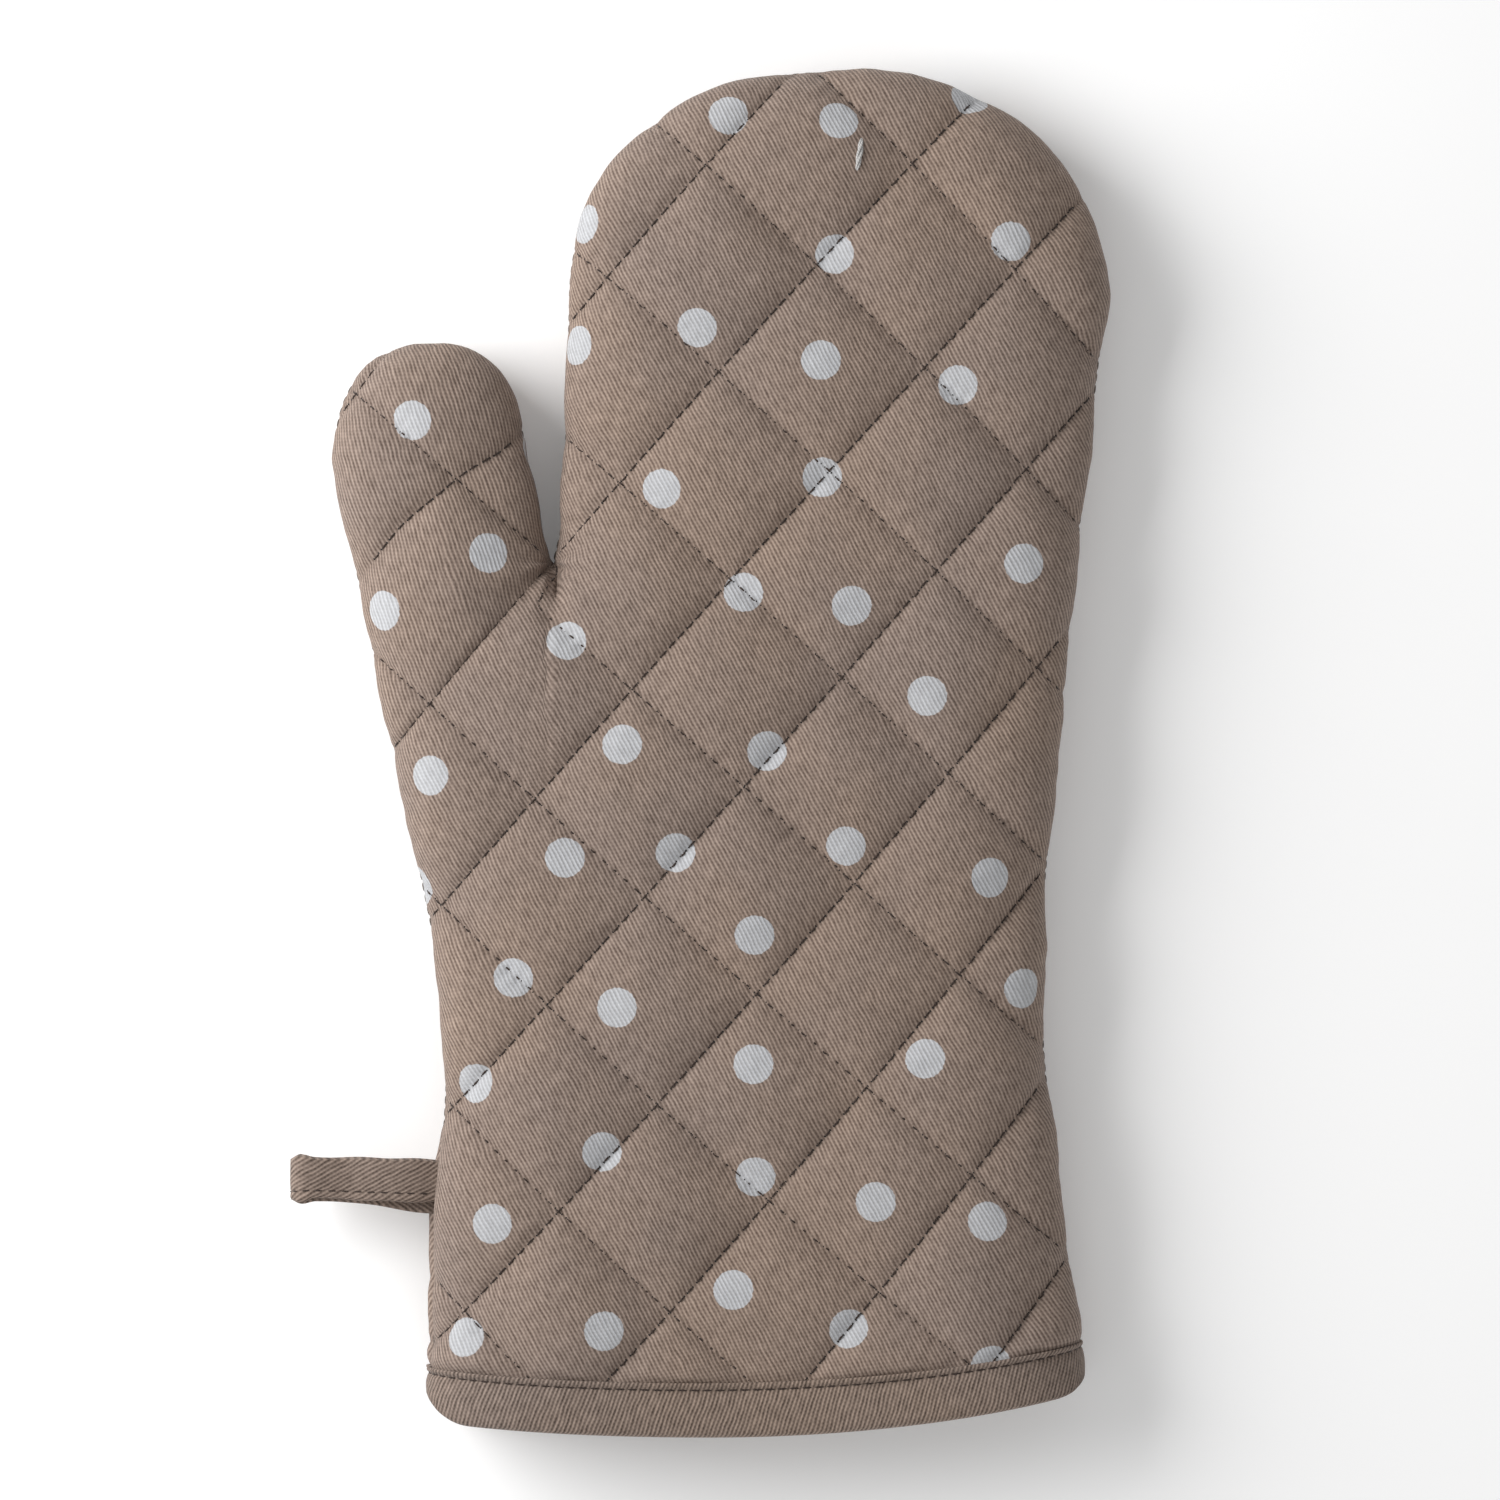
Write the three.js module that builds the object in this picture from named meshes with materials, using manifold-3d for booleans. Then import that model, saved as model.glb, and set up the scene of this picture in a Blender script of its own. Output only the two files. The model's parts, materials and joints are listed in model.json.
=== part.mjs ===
// Quilted oven mitt lying palm side up on a table, in millimetres, +Z up, fingertips towards +Y.
//
// The mitt is two quilted panels sewn together round their edge. Each panel is a sandwich of a
// printed cover, a sheet of wadding and a lining. A bound cuff finishes the mouth, and a hanging
// loop comes out of the side seam. The panels are divided where a worn mitt folds: across the
// fingers, and across the root of the thumb.

import * as THREE from 'three';
import { mergeVertices } from 'three/addons/utils/BufferGeometryUtils.js';
import Module from 'manifold-3d';

// ---------------------------------------------------------------- driving dimensions

const SEAM_HEIGHT = 14.4; // side seam above the table, and the height of both folds
const BACK_DEPTH = 15; // depth of the back panel below the seam, before the table flattens it
const BACK_DEPTH_AT_CUFF = 13.2; // the same at the cuff, where the binding lies on the table
const MOUTH_RISE = 18.5; // rise of the front panel above the seam at the cuff
const PALM_RISE = 17; // the same over the palm
const FINGER_RISE = 15; // the same over the fingers
const THUMB_RISE = 14.5; // the same over the thumb

const FINGERTIP_Y = 160;
const THUMB_TIP_Y = 96;
const LOBE_START_Y = -176; // the lobes start beyond the mouth, which is trimmed afterwards

const GAP = 0.3; // clearance between sewn layers
const COVER_THICK = 1.3;
const WADDING_THICK = 4;
const LINING_THICK = 1;

const CUFF_LOW_END = [-80, -146]; // the cuff's edge runs from here, past the thumb's side,
const CUFF_HIGH_END = [106, -142]; // to here, past the other side,
const CUFF_BOW = [10, -176]; // bowed towards this point
const CUFF_SHOULDER_Y = -130; // the edge turns straight up the outside from here
const CUFF_CLEAR = 60; // how far the trimming region reaches beyond the mitt's sides

const BINDING_THICK = 1.1;
const BINDING_WIDTH = 11.7;
const BINDING_STITCH_EDGE = 1.5; // stitch line to the binding's folded edge
const THREAD = 0.6; // width of a line of sewing thread
const SEAM_THREAD = 1;

const FINGER_FOLD_Y = 75;
const FINGER_FOLD_MAX = 70; // degrees
const THUMB_FOLD_POINT = [-48.5, 58.8]; // a point on the thumb's fold line
const THUMB_FOLD_TURN = 45; // degrees from +X to the thumb's fold line
const THUMB_FOLD_MAX = 50; // degrees
const FOLD_SPARE = 1; // degrees kept free on each side of a fold
const CROTCH_REGION = [-48, 24]; // the crotch's part of the side seam starts past this corner
const LOBE_GAP_X = -36.6; // a line between the thumb and the fingers

const LOOP_ROOT = [-64.3, -102]; // where the loop leaves the side seam
const LOOP_END_X = -96.2;
const LOOP_WIDTH = 10.5;
const LOOP_EYE = 6.2; // clear height inside the loop
const LOOP_TAPE = 1.5; // thickness of the folded tape
const LOOP_BEARING = 2; // height of the flat at the loop's end, where a hook bears

const TACK_START = [37.4, 142.8]; // the loose thread bar near the fingertips
const TACK_MIDDLE = [37.4, 138.6];
const TACK_END = [36.6, 134.4];
const TACK_RADIUS = 0.6;

const SECTION_SIDES = 20; // facets round a lobe
const FAR = 260; // beyond every surface of the mitt

// ---------------------------------------------------------------- materials

function material(colour, roughness) {
  return new THREE.MeshStandardMaterial({ color: colour, roughness, metalness: 0 });
}

const COVER = material(0x8b7a6d, 0.92);
const WADDING = material(0xe9e4d8, 1);
const LINING = material(0xcfc3b2, 0.95);
const TAPE = material(0x7d6c60, 0.9);
const THREAD_DARK = material(0x3b2a24, 0.7);
const THREAD_PALE = material(0xb9b6b0, 0.6);

// ---------------------------------------------------------------- solids

const wasm = await Module();
wasm.setup();

function toSolid(geometry) {
  const bare = geometry.clone();
  bare.deleteAttribute('normal');
  bare.deleteAttribute('uv');
  const merged = mergeVertices(bare, 1e-4);
  return new wasm.Manifold(new wasm.Mesh({
    numProp: 3,
    vertProperties: new Float32Array(merged.attributes.position.array),
    triVerts: new Uint32Array(merged.index.array),
  }));
}

function toGeometry(solid) {
  const mesh = solid.getMesh();
  const geometry = new THREE.BufferGeometry();
  geometry.setAttribute('position', new THREE.BufferAttribute(mesh.vertProperties, 3));
  geometry.setIndex(new THREE.BufferAttribute(mesh.triVerts, 1));
  geometry.computeVertexNormals();
  return geometry;
}

function block(low, high) {
  const size = high.map((value, axis) => value - low[axis]);
  const geometry = new THREE.BoxGeometry(...size);
  geometry.translate(low[0] + size[0] / 2, low[1] + size[1] / 2, low[2] + size[2] / 2);
  return toSolid(geometry);
}

// ---------------------------------------------------------------- outline of the mitt

// A smooth run of x against y, through the few points that the edge needs.
function edge(points) {
  const curve = new THREE.SplineCurve(points.map(([y, x]) => new THREE.Vector2(y, x)));
  const samples = curve.getSpacedPoints(200);
  return (y) => {
    const next = samples.findIndex((point) => point.x >= y);
    if (next < 0) {
      return samples[samples.length - 1].y;
    }
    if (next === 0) {
      return samples[0].y;
    }
    const before = samples[next - 1];
    const share = (y - before.x) / (samples[next].x - before.x);
    return THREE.MathUtils.lerp(before.y, samples[next].y, share);
  };
}

const handLeft = edge([
  [-180, -64.5], [-130, -64], [-85, -61.6], [-50, -60.5], [-20, -53.5],
  [10, -43.5], [44, -34.3], [60, -33.6], [104, -32.4],
]);
const handRight = edge([
  [-180, 92.5], [-140, 89.8], [-96, 84.5], [-52, 80.8], [-12, 84],
  [44, 89.4], [104, 96.4],
]);
const thumbLeft = edge([
  [-84, -52], [-62, -60.6], [-40, -64.9], [-12, -70.7], [16, -77],
  [44, -82.6], [72, -88],
]);
const thumbRight = edge([
  [-84, -30], [-62, -16], [-12, -21], [20, -28.5], [44, -34.4],
  [56, -37.2], [72, -40.1],
]);

// Falls from 1 at the start of a rounded end to 0 at its tip.
function roundedEnd(position, start, tip, fullness) {
  const share = THREE.MathUtils.clamp((position - start) / (tip - start), 0, 1);
  return (1 - share ** fullness) ** (1 / fullness);
}

const HAND = {
  startY: LOBE_START_Y,
  endStartY: 104,
  riseEndY: 124,
  tipY: FINGERTIP_Y,
  fullness: 2.2,
  left: handLeft,
  right: handRight,
  straightRings: 9,
  endRings: 5,
  rise: (y) => {
    const towardsPalm = THREE.MathUtils.smoothstep(y, -150, -80);
    const towardsFingers = THREE.MathUtils.smoothstep(y, 0, 100);
    const palm = THREE.MathUtils.lerp(MOUTH_RISE, PALM_RISE, towardsPalm);
    return THREE.MathUtils.lerp(palm, FINGER_RISE, towardsFingers);
  },
};
const THUMB = {
  startY: -84,
  endStartY: 68,
  riseEndY: 72,
  tipY: THUMB_TIP_Y,
  fullness: 2.3,
  left: thumbLeft,
  right: thumbRight,
  straightRings: 6,
  endRings: 4,
  rise: (y) => THUMB_RISE * (0.6 + 0.4 * THREE.MathUtils.smoothstep(y, -84, -30)),
};

// The height of a lobe's section at one side of the seam, as a share of its full height.
function signedPower(value, power) {
  return Math.sign(value) * Math.abs(value) ** power;
}

function backDepth(y) {
  const awayFromCuff = THREE.MathUtils.smoothstep(y, -145, -125);
  return THREE.MathUtils.lerp(BACK_DEPTH_AT_CUFF, BACK_DEPTH, awayFromCuff);
}

const FRONT_FULLNESS = 2.6; // the front panel's section is a soft arch
const BACK_FULLNESS = 3.6; // the back panel's section is flatter, because it lies on the table

// One lobe of the mitt, taken in by inset on every side: a cylinder whose rings are moved to the
// mitt's sections. The lobe ends in a rounded tip.
function lobe(shape, inset) {
  const rings = shape.straightRings + shape.endRings;
  const geometry = new THREE.CylinderGeometry(1, 1, 1, SECTION_SIDES, rings);
  const position = geometry.attributes.position;
  const tipY = shape.tipY - inset;
  const lastPhase = THREE.MathUtils.degToRad(83);
  const reach = Math.sin(lastPhase);
  for (let index = 0; index < position.count; index += 1) {
    const ring = Math.round((position.getY(index) + 0.5) * rings);
    const isEnd = ring > shape.straightRings;
    const straight = Math.min(ring / shape.straightRings, 1);
    const phase = lastPhase * ((ring - shape.straightRings) / shape.endRings);
    const y = isEnd
      ? THREE.MathUtils.lerp(shape.endStartY, tipY, Math.sin(phase) / reach)
      : THREE.MathUtils.lerp(shape.startY, shape.endStartY, straight);
    const beyondTip = tipY + (tipY - shape.endStartY) * (1 / reach - 1);
    const narrowing = roundedEnd(y, shape.endStartY, beyondTip, shape.fullness);
    const thinning = roundedEnd(y, shape.riseEndY, beyondTip, shape.fullness);
    const sideways = position.getX(index);
    const upward = position.getZ(index);
    const left = shape.left(y) + inset;
    const right = shape.right(y) - inset;
    const halfWidth = ((right - left) / 2) * narrowing;
    const isFront = upward > 0;
    const fullness = isFront ? FRONT_FULLNESS : BACK_FULLNESS;
    const depth = ((isFront ? shape.rise(y) : backDepth(y)) - inset) * thinning;
    const radius = Math.hypot(sideways, upward);
    const x = radius === 0 ? 0 : signedPower(sideways / radius, 2 / fullness) * radius;
    const z = radius === 0 ? 0 : signedPower(upward / radius, 2 / fullness) * radius;
    position.setXYZ(
      index,
      (left + right) / 2 + x * halfWidth,
      y,
      Math.max(SEAM_HEIGHT + z * depth, 0),
    );
  }
  return toSolid(geometry);
}

function mitt(inset) {
  return lobe(HAND, inset).add(lobe(THUMB, inset));
}

function shell(outer, inner) {
  return mitt(outer).subtract(mitt(inner));
}

// ---------------------------------------------------------------- the cuff's curved end

// Everything on the fingertip side of the cuff's edge, which bows towards the wearer's arm. The
// edge is moved in from the bound end by inset.
function pastCuffEdge(inset) {
  const [lowX, lowY] = CUFF_LOW_END;
  const [highX, highY] = CUFF_HIGH_END;
  const outline = new THREE.Shape();
  outline.moveTo(lowX, lowY + inset);
  outline.quadraticCurveTo(CUFF_BOW[0], CUFF_BOW[1] + inset, highX, highY + inset);
  outline.lineTo(highX + CUFF_CLEAR, FAR);
  outline.lineTo(lowX - 2 * CUFF_CLEAR, FAR);
  outline.lineTo(lowX - 2 * CUFF_CLEAR, -CUFF_CLEAR);
  outline.lineTo(lowX, CUFF_SHOULDER_Y + inset);
  outline.closePath();
  const settings = { depth: 200, bevelEnabled: false, curveSegments: 14 };
  const geometry = new THREE.ExtrudeGeometry(outline, settings);
  geometry.translate(0, 0, -settings.depth / 2);
  return toSolid(geometry);
}

// ---------------------------------------------------------------- folds

// A cutter that runs along a fold: upright below the seam, and opened above it by half of the
// fold's range, so that the two sides meet when the fold is closed. side is 1 for the moving
// side's own room, and -1 for what the still side gives up.
function foldRegion(point, turn, range, side) {
  const slope = Math.tan(THREE.MathUtils.degToRad(range / 2 + FOLD_SPARE));
  const start = side * GAP / 2;
  const profile = new THREE.Shape();
  profile.moveTo(start, -60);
  profile.lineTo(start, 0);
  profile.lineTo(start + side * slope * 60, 60);
  profile.lineTo(FAR, 60);
  profile.lineTo(FAR, -60);
  profile.closePath();
  const geometry = new THREE.ExtrudeGeometry(profile, { depth: 2 * FAR, bevelEnabled: false });
  geometry.translate(0, 0, -FAR);
  geometry.rotateX(Math.PI / 2);
  geometry.rotateZ(Math.PI / 2 + THREE.MathUtils.degToRad(turn));
  geometry.translate(point[0], point[1], SEAM_HEIGHT);
  return toSolid(geometry);
}

const fingerSide = block([LOBE_GAP_X, -FAR, -FAR], [FAR, FAR, FAR]);
const thumbSide = block([-FAR, -FAR, -FAR], [LOBE_GAP_X, FAR, FAR]);
const fingerFold = [0, FINGER_FOLD_Y];

function fingerRegion(side) {
  return foldRegion(fingerFold, 0, FINGER_FOLD_MAX, side).intersect(fingerSide);
}

function thumbRegion(side) {
  return foldRegion(THUMB_FOLD_POINT, THUMB_FOLD_TURN, THUMB_FOLD_MAX, side).intersect(thumbSide);
}

const fingersOnly = fingerRegion(1);
const thumbOnly = thumbRegion(1);
const awayFromPalm = fingerRegion(-1).add(thumbRegion(-1));

function divide(solid) {
  return {
    palm: solid.subtract(awayFromPalm),
    fingers: solid.intersect(fingersOnly),
    thumb: solid.intersect(thumbOnly),
  };
}

// ---------------------------------------------------------------- sub-parts

const object = new THREE.Group();

function addPiece(name, solid, finish) {
  const mesh = new THREE.Mesh(toGeometry(solid), finish);
  mesh.name = name;
  object.add(mesh);
}

const PANEL_EDGE_GAP = SEAM_THREAD / 2 + GAP; // the cover stops short of the seam's thread
const bodyEnd = pastCuffEdge(BINDING_THICK + GAP);

function panelSide(side, edgeGap) {
  return side === 'front'
    ? block([-FAR, -FAR, SEAM_HEIGHT + edgeGap], [FAR, FAR, FAR])
    : block([-FAR, -FAR, -FAR], [FAR, FAR, SEAM_HEIGHT - edgeGap]);
}

function addLayer(layer, outer, inner, edgeGap, finish) {
  const whole = shell(outer, inner).intersect(bodyEnd);
  for (const side of ['front', 'back']) {
    const panel = divide(whole.intersect(panelSide(side, edgeGap)));
    for (const [region, solid] of Object.entries(panel)) {
      addPiece(`${side}_${layer}_${region}`, solid, finish);
    }
  }
}

const waddingOuter = COVER_THICK + GAP;
const waddingInner = waddingOuter + WADDING_THICK;
const liningOuter = waddingInner + GAP;
const liningInner = liningOuter + LINING_THICK;

function addPanels() {
  addLayer('cover', 0, COVER_THICK, PANEL_EDGE_GAP, COVER);
  addLayer('wadding', waddingOuter, waddingInner, GAP / 2, WADDING);
  addLayer('lining', liningOuter, liningInner, GAP / 2, LINING);
}

// The line of stitches that joins the two panels, lying in the valley between their edges.
function addSideSeam() {
  const band = block(
    [-FAR, -FAR, SEAM_HEIGHT - SEAM_THREAD / 2],
    [FAR, FAR, SEAM_HEIGHT + SEAM_THREAD / 2],
  );
  const seam = divide(shell(GAP, GAP + SEAM_THREAD).intersect(bodyEnd).intersect(band));
  const crotch = block([...CROTCH_REGION, 0], [0, FINGER_FOLD_Y, FAR]);
  const outerEdge = block([0, -FAR, 0], [FAR, FAR, FAR]);
  addPiece('side_seam_outer_edge', seam.palm.intersect(outerEdge), THREAD_DARK);
  addPiece('side_seam_crotch', seam.palm.intersect(crotch), THREAD_DARK);
  addPiece('side_seam_inner_edge', seam.palm.subtract(outerEdge).subtract(crotch), THREAD_DARK);
  addPiece('side_seam_fingers', seam.fingers, THREAD_DARK);
  addPiece('side_seam_thumb', seam.thumb, THREAD_DARK);
}

// A tape folded over the mouth's edge: a channel with an outside leg, an inside leg and a fold.
function addBinding() {
  const hem = pastCuffEdge(0).subtract(pastCuffEdge(BINDING_WIDTH));
  const wrapped = shell(-GAP - BINDING_THICK, liningInner + GAP + BINDING_THICK);
  const panelRoom = shell(-GAP, liningInner + GAP).intersect(pastCuffEdge(BINDING_THICK));
  addPiece('cuff_binding', wrapped.intersect(hem).subtract(panelRoom), TAPE);
}

// The stitches that hold the binding, in a ring just below its folded edge.
function addBindingStitch() {
  const upper = pastCuffEdge(BINDING_WIDTH - BINDING_STITCH_EDGE - THREAD);
  const lower = pastCuffEdge(BINDING_WIDTH - BINDING_STITCH_EDGE);
  const surface = -GAP - BINDING_THICK;
  const ring = shell(surface - GAP - THREAD, surface - GAP).intersect(upper.subtract(lower));
  const clearOfTable = block([-FAR, -FAR, GAP], [FAR, FAR, FAR]);
  addPiece('binding_stitch', ring.intersect(clearOfTable), THREAD_DARK);
}

// The loop's side view: two legs that part from the root, and a round end. grow moves the line
// outwards, and a negative grow gives the inside of the loop.
function loopOutline(grow) {
  const rootHalf = LOOP_TAPE + grow;
  const bellyHalf = LOOP_EYE / 2 + LOOP_TAPE + grow;
  const endX = LOOP_END_X - grow;
  const length = LOOP_ROOT[0] - LOOP_END_X;
  const bellyX = LOOP_END_X + length * 0.3;
  const outline = new THREE.Shape();
  outline.moveTo(LOOP_ROOT[0], -rootHalf);
  outline.bezierCurveTo(
    LOOP_ROOT[0] - length * 0.2, -rootHalf,
    bellyX + length * 0.2, -bellyHalf,
    bellyX, -bellyHalf,
  );
  const flat = LOOP_BEARING / 2;
  const shoulderX = bellyX - length * 0.17;
  outline.bezierCurveTo(shoulderX, -bellyHalf, endX, -bellyHalf * 0.8, endX, -flat);
  outline.lineTo(endX, flat);
  outline.bezierCurveTo(endX, bellyHalf * 0.8, shoulderX, bellyHalf, bellyX, bellyHalf);
  outline.bezierCurveTo(
    bellyX + length * 0.2, bellyHalf,
    LOOP_ROOT[0] - length * 0.2, rootHalf,
    LOOP_ROOT[0], rootHalf,
  );
  outline.closePath();
  return outline;
}

function loopSlice(grow, width, centreY) {
  const geometry = new THREE.ExtrudeGeometry(
    loopOutline(grow),
    { depth: width, bevelEnabled: false, curveSegments: 8 },
  );
  geometry.rotateX(Math.PI / 2);
  geometry.translate(0, centreY + width / 2, SEAM_HEIGHT);
  return toSolid(geometry);
}

function addLoop() {
  const [rootX, rootY] = LOOP_ROOT;
  const rootLength = 6; // the legs are sewn together beside the seam
  const eyeSpace = block([-FAR, -FAR, -FAR], [rootX - rootLength, FAR, FAR]);
  const eye = loopSlice(-LOOP_TAPE, LOOP_WIDTH + 2, rootY).intersect(eyeSpace);
  addPiece('hanging_loop', loopSlice(0, LOOP_WIDTH, rootY).subtract(eye), TAPE);

  const stitchY = rootY - LOOP_WIDTH / 2 + BINDING_STITCH_EDGE;
  const stitchBand = loopSlice(GAP + THREAD, THREAD, stitchY).subtract(loopSlice(GAP, 2, stitchY));
  addPiece('loop_stitch', stitchBand.intersect(eyeSpace), THREAD_DARK);
}

// A short bar of pale thread that lies over the front cover near the fingertips.
function addTack() {
  const overCover = SEAM_HEIGHT + FINGER_RISE + TACK_RADIUS;
  const path = new THREE.QuadraticBezierCurve3(
    new THREE.Vector3(TACK_START[0], TACK_START[1], overCover - 0.5),
    new THREE.Vector3(TACK_MIDDLE[0], TACK_MIDDLE[1], overCover + 1),
    new THREE.Vector3(TACK_END[0], TACK_END[1], overCover + 0.2),
  );
  const section = new THREE.Shape();
  section.absarc(0, 0, TACK_RADIUS, 0, 2 * Math.PI);
  const geometry = new THREE.ExtrudeGeometry(
    section,
    { extrudePath: path, steps: 4, bevelEnabled: false, curveSegments: 4 },
  );
  addPiece('tack_stitch', toSolid(geometry), THREAD_PALE);
}

addPanels();
addSideSeam();
addBinding();
addBindingStitch();
addLoop();
addTack();

// The origin is the middle of the bounding box on the table.
const bounds = new THREE.Box3().setFromObject(object);
object.position.set(
  -(bounds.min.x + bounds.max.x) / 2,
  -(bounds.min.y + bounds.max.y) / 2,
  -bounds.min.z,
);

export default object;
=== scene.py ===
import json
import math

import bpy
import numpy as np
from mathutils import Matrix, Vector
from mathutils.bvhtree import BVHTree
from mathutils.kdtree import KDTree


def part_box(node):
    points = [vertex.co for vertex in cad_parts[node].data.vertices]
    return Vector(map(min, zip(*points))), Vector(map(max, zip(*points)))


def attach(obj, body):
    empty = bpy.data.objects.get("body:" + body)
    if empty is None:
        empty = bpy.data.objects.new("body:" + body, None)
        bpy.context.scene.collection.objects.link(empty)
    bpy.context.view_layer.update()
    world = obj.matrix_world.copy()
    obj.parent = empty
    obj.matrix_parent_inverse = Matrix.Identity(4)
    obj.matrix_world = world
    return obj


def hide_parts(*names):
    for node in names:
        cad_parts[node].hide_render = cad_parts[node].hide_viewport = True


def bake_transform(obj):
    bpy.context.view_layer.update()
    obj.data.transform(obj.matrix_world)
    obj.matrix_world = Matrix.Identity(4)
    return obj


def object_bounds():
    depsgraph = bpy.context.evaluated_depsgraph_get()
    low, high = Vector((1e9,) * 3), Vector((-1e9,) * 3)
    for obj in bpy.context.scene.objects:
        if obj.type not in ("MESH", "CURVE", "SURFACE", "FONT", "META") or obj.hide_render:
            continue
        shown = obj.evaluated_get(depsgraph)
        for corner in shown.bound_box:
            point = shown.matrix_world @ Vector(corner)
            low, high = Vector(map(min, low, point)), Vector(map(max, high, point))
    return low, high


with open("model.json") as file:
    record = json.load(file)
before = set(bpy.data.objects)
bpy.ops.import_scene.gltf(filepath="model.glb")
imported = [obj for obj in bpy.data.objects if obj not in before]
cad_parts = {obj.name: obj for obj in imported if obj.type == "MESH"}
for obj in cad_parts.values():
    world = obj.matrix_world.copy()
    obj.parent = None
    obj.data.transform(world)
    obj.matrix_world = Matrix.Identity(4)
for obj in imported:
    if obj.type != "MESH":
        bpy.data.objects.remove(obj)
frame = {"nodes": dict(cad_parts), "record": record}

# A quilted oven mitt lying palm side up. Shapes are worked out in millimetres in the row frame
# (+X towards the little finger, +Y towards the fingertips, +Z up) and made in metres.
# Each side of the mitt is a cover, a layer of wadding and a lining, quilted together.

cad_low, cad_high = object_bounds()
MM = 0.001

joints = {joint["name"]: joint for joint in frame["record"]["behaviour"]["joints"]}


def node_box(node):
    """Lowest and highest corner of a CAD node, in millimetres."""
    low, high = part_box(node)
    return np.array(low) / MM, np.array(high) / MM


# ------------------------------------------------------------------ sizes, in millimetres

SEAM_Z = joints["finger_fold"]["pos_m"][2] / MM
FINGERTIP_Y = node_box("front_cover_fingers")[1][1]
THUMB_TIP_Y = node_box("front_cover_thumb")[1][1]
CUFF_END_Y = node_box("cuff_binding")[0][1]

COVER_STEP = 1.08  # spacing of the cover's mesh
INNER_STEP = 1.9  # spacing of the wadding's and lining's
THUMB_WIDTH, HAND_WIDTH = 48.0, 126.0  # over which the mesh's columns are counted
SIDE_EXTRA = 7.0  # cloth that a turned-down side adds to a width or length
SIDE_CROWDING = 0.16  # how much closer the mesh is at both ends of a row
SEAM_SAMPLE = 0.25  # step of the line that distances from the seam are measured to
PROBE = 0.05  # a small step, to find how a value changes
LONGEST_STEP = 12.0  # when a place on the plan is searched for
SEAM_BAND = 1.5  # beside the seam, where the cloth stands nearly upright
RIM = 1.0  # the seam is pulled in this far from the widest line
CROTCH = np.array([-34.3, 44.0])  # where the edges of the thumb and the hand meet
VALLEY_LEAN = 0.08  # of the mesh's column below the crotch
ROUND_HAND_Y = 104.0  # where the fingertip starts to round off
ROUND_THUMB_Y = 68.0
HAND_FULLNESS = 2.2  # how square the rounded ends are
THUMB_FULLNESS = 2.3
BEND_RADIUS = 34.0  # distance from the seam over which a panel curves down

FRONT_HEIGHT = 16.4  # of the quilting rows above the seam
# how much lower they are in the palm than at the cuff, lower again at the fingers and the thumb
FRONT_LOWER_PALM, FRONT_LOWER_FINGERS, FRONT_LOWER_THUMB = 1.5, 1.8, 0.8
BACK_DEPTH = 12.6  # of the quilting rows below the seam
BACK_SHALLOWER_AT_CUFF = 1.4
TABLE = 0.25  # the lowest the back comes

COVER_THICK = 0.8
LINING_THICK = 0.7
ROW_THICK = 3.2  # all the layers together, where a quilting row holds them
PUFF_OUT = 3.2  # how far a quilted square stands out of its rows
PUFF_IN = 1.6  # and how far it stands in
PUCKER, ROW_GROOVE = 0.16, 0.32  # of the cloth between the stitches, and along a row
WRINKLE, FINE_WRINKLE = 0.35, 0.16
CROTCH_FOLD, CROTCH_PINCH = 1.2, 2.2
LOOP_SIDE_SWELL = 2.6  # how much the back swells out at the cuff's left side
WADDING_DEPTH = 1.5  # of the wadding's outer face below the quilting rows
WADDING_PUFF = 1.2  # how much nearer it comes where a square puffs up
SEAM_TUCK = 0.9  # the inner layers are this much further inside at the seam
SQUARE_TO_MOUTH = (3, 12)  # below the first height layers are offset only across the mouth
MOUTH_TUCK_HEIGHT = 9  # and the inner layers are drawn up below this one
MOUTH_TUCK = 2.8  # how far the inner layers end inside the fold of the binding
LAYER_GAP = 0.15

CELL = 34.5  # side of a quilted square
ROW_TURNS = (49.0, -42.0)  # degrees from +X to the direction across each family of rows
SIDE_DRAW = 0.05  # how much the rows draw together at the sides, where the cloth turns down
HALF_WIDTH = 80.0  # from the middle to where they draw together by that share
CROTCH_ROW_BEND = 0.3  # in squares, of the rows near the crotch
THUMB_ROW_SHIFT, THUMB_SIDE_SHIFT = 0.10, 0.14  # in squares, of the rows across the thumb
FIRST_ROW, LAST_ROW = -7, 5
ROW_TO_SEAM = 1.2  # rows stop this far from the seam
ROW_UNDER_TAPE = 1.5  # and this far below the binding's upper edge
STITCHES_PER_CELL = 10
STITCH_SHOWN = 0.6  # the share of a stitch's length that lies on top
STITCH_UNEVEN = 0.12  # how far a stitch's start strays
STITCH_DIVE = 0.45  # how much deeper its ends lie than its middle
FIRST_STITCH = 0.3  # from the end of its row
# for each line of stitches: first start, pitch, share on top, and height above the cloth
SEAM_STITCHES = (1.0, 2.8, 0.75, 0.12)
BINDING_STITCHES = (0.5, 2.9, 0.74, 0.1)
LOOP_STITCHES = (0.4, 3.1, 0.6, 0.08)
THREAD = 0.23  # half of a thread's width
NEEDLE_HOLE = 0.3  # half of a hole's width
THUMB_ROW = -2  # the row that runs from the crotch to the outer edge
ROWS_AT_CROTCH = np.array([-0.7, THUMB_ROW])
DOT_RADIUS = 4.65
DOT_SPACING = 25.0  # the least distance between the middles of two printed dots
DOT_TRIES = 4000

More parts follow.
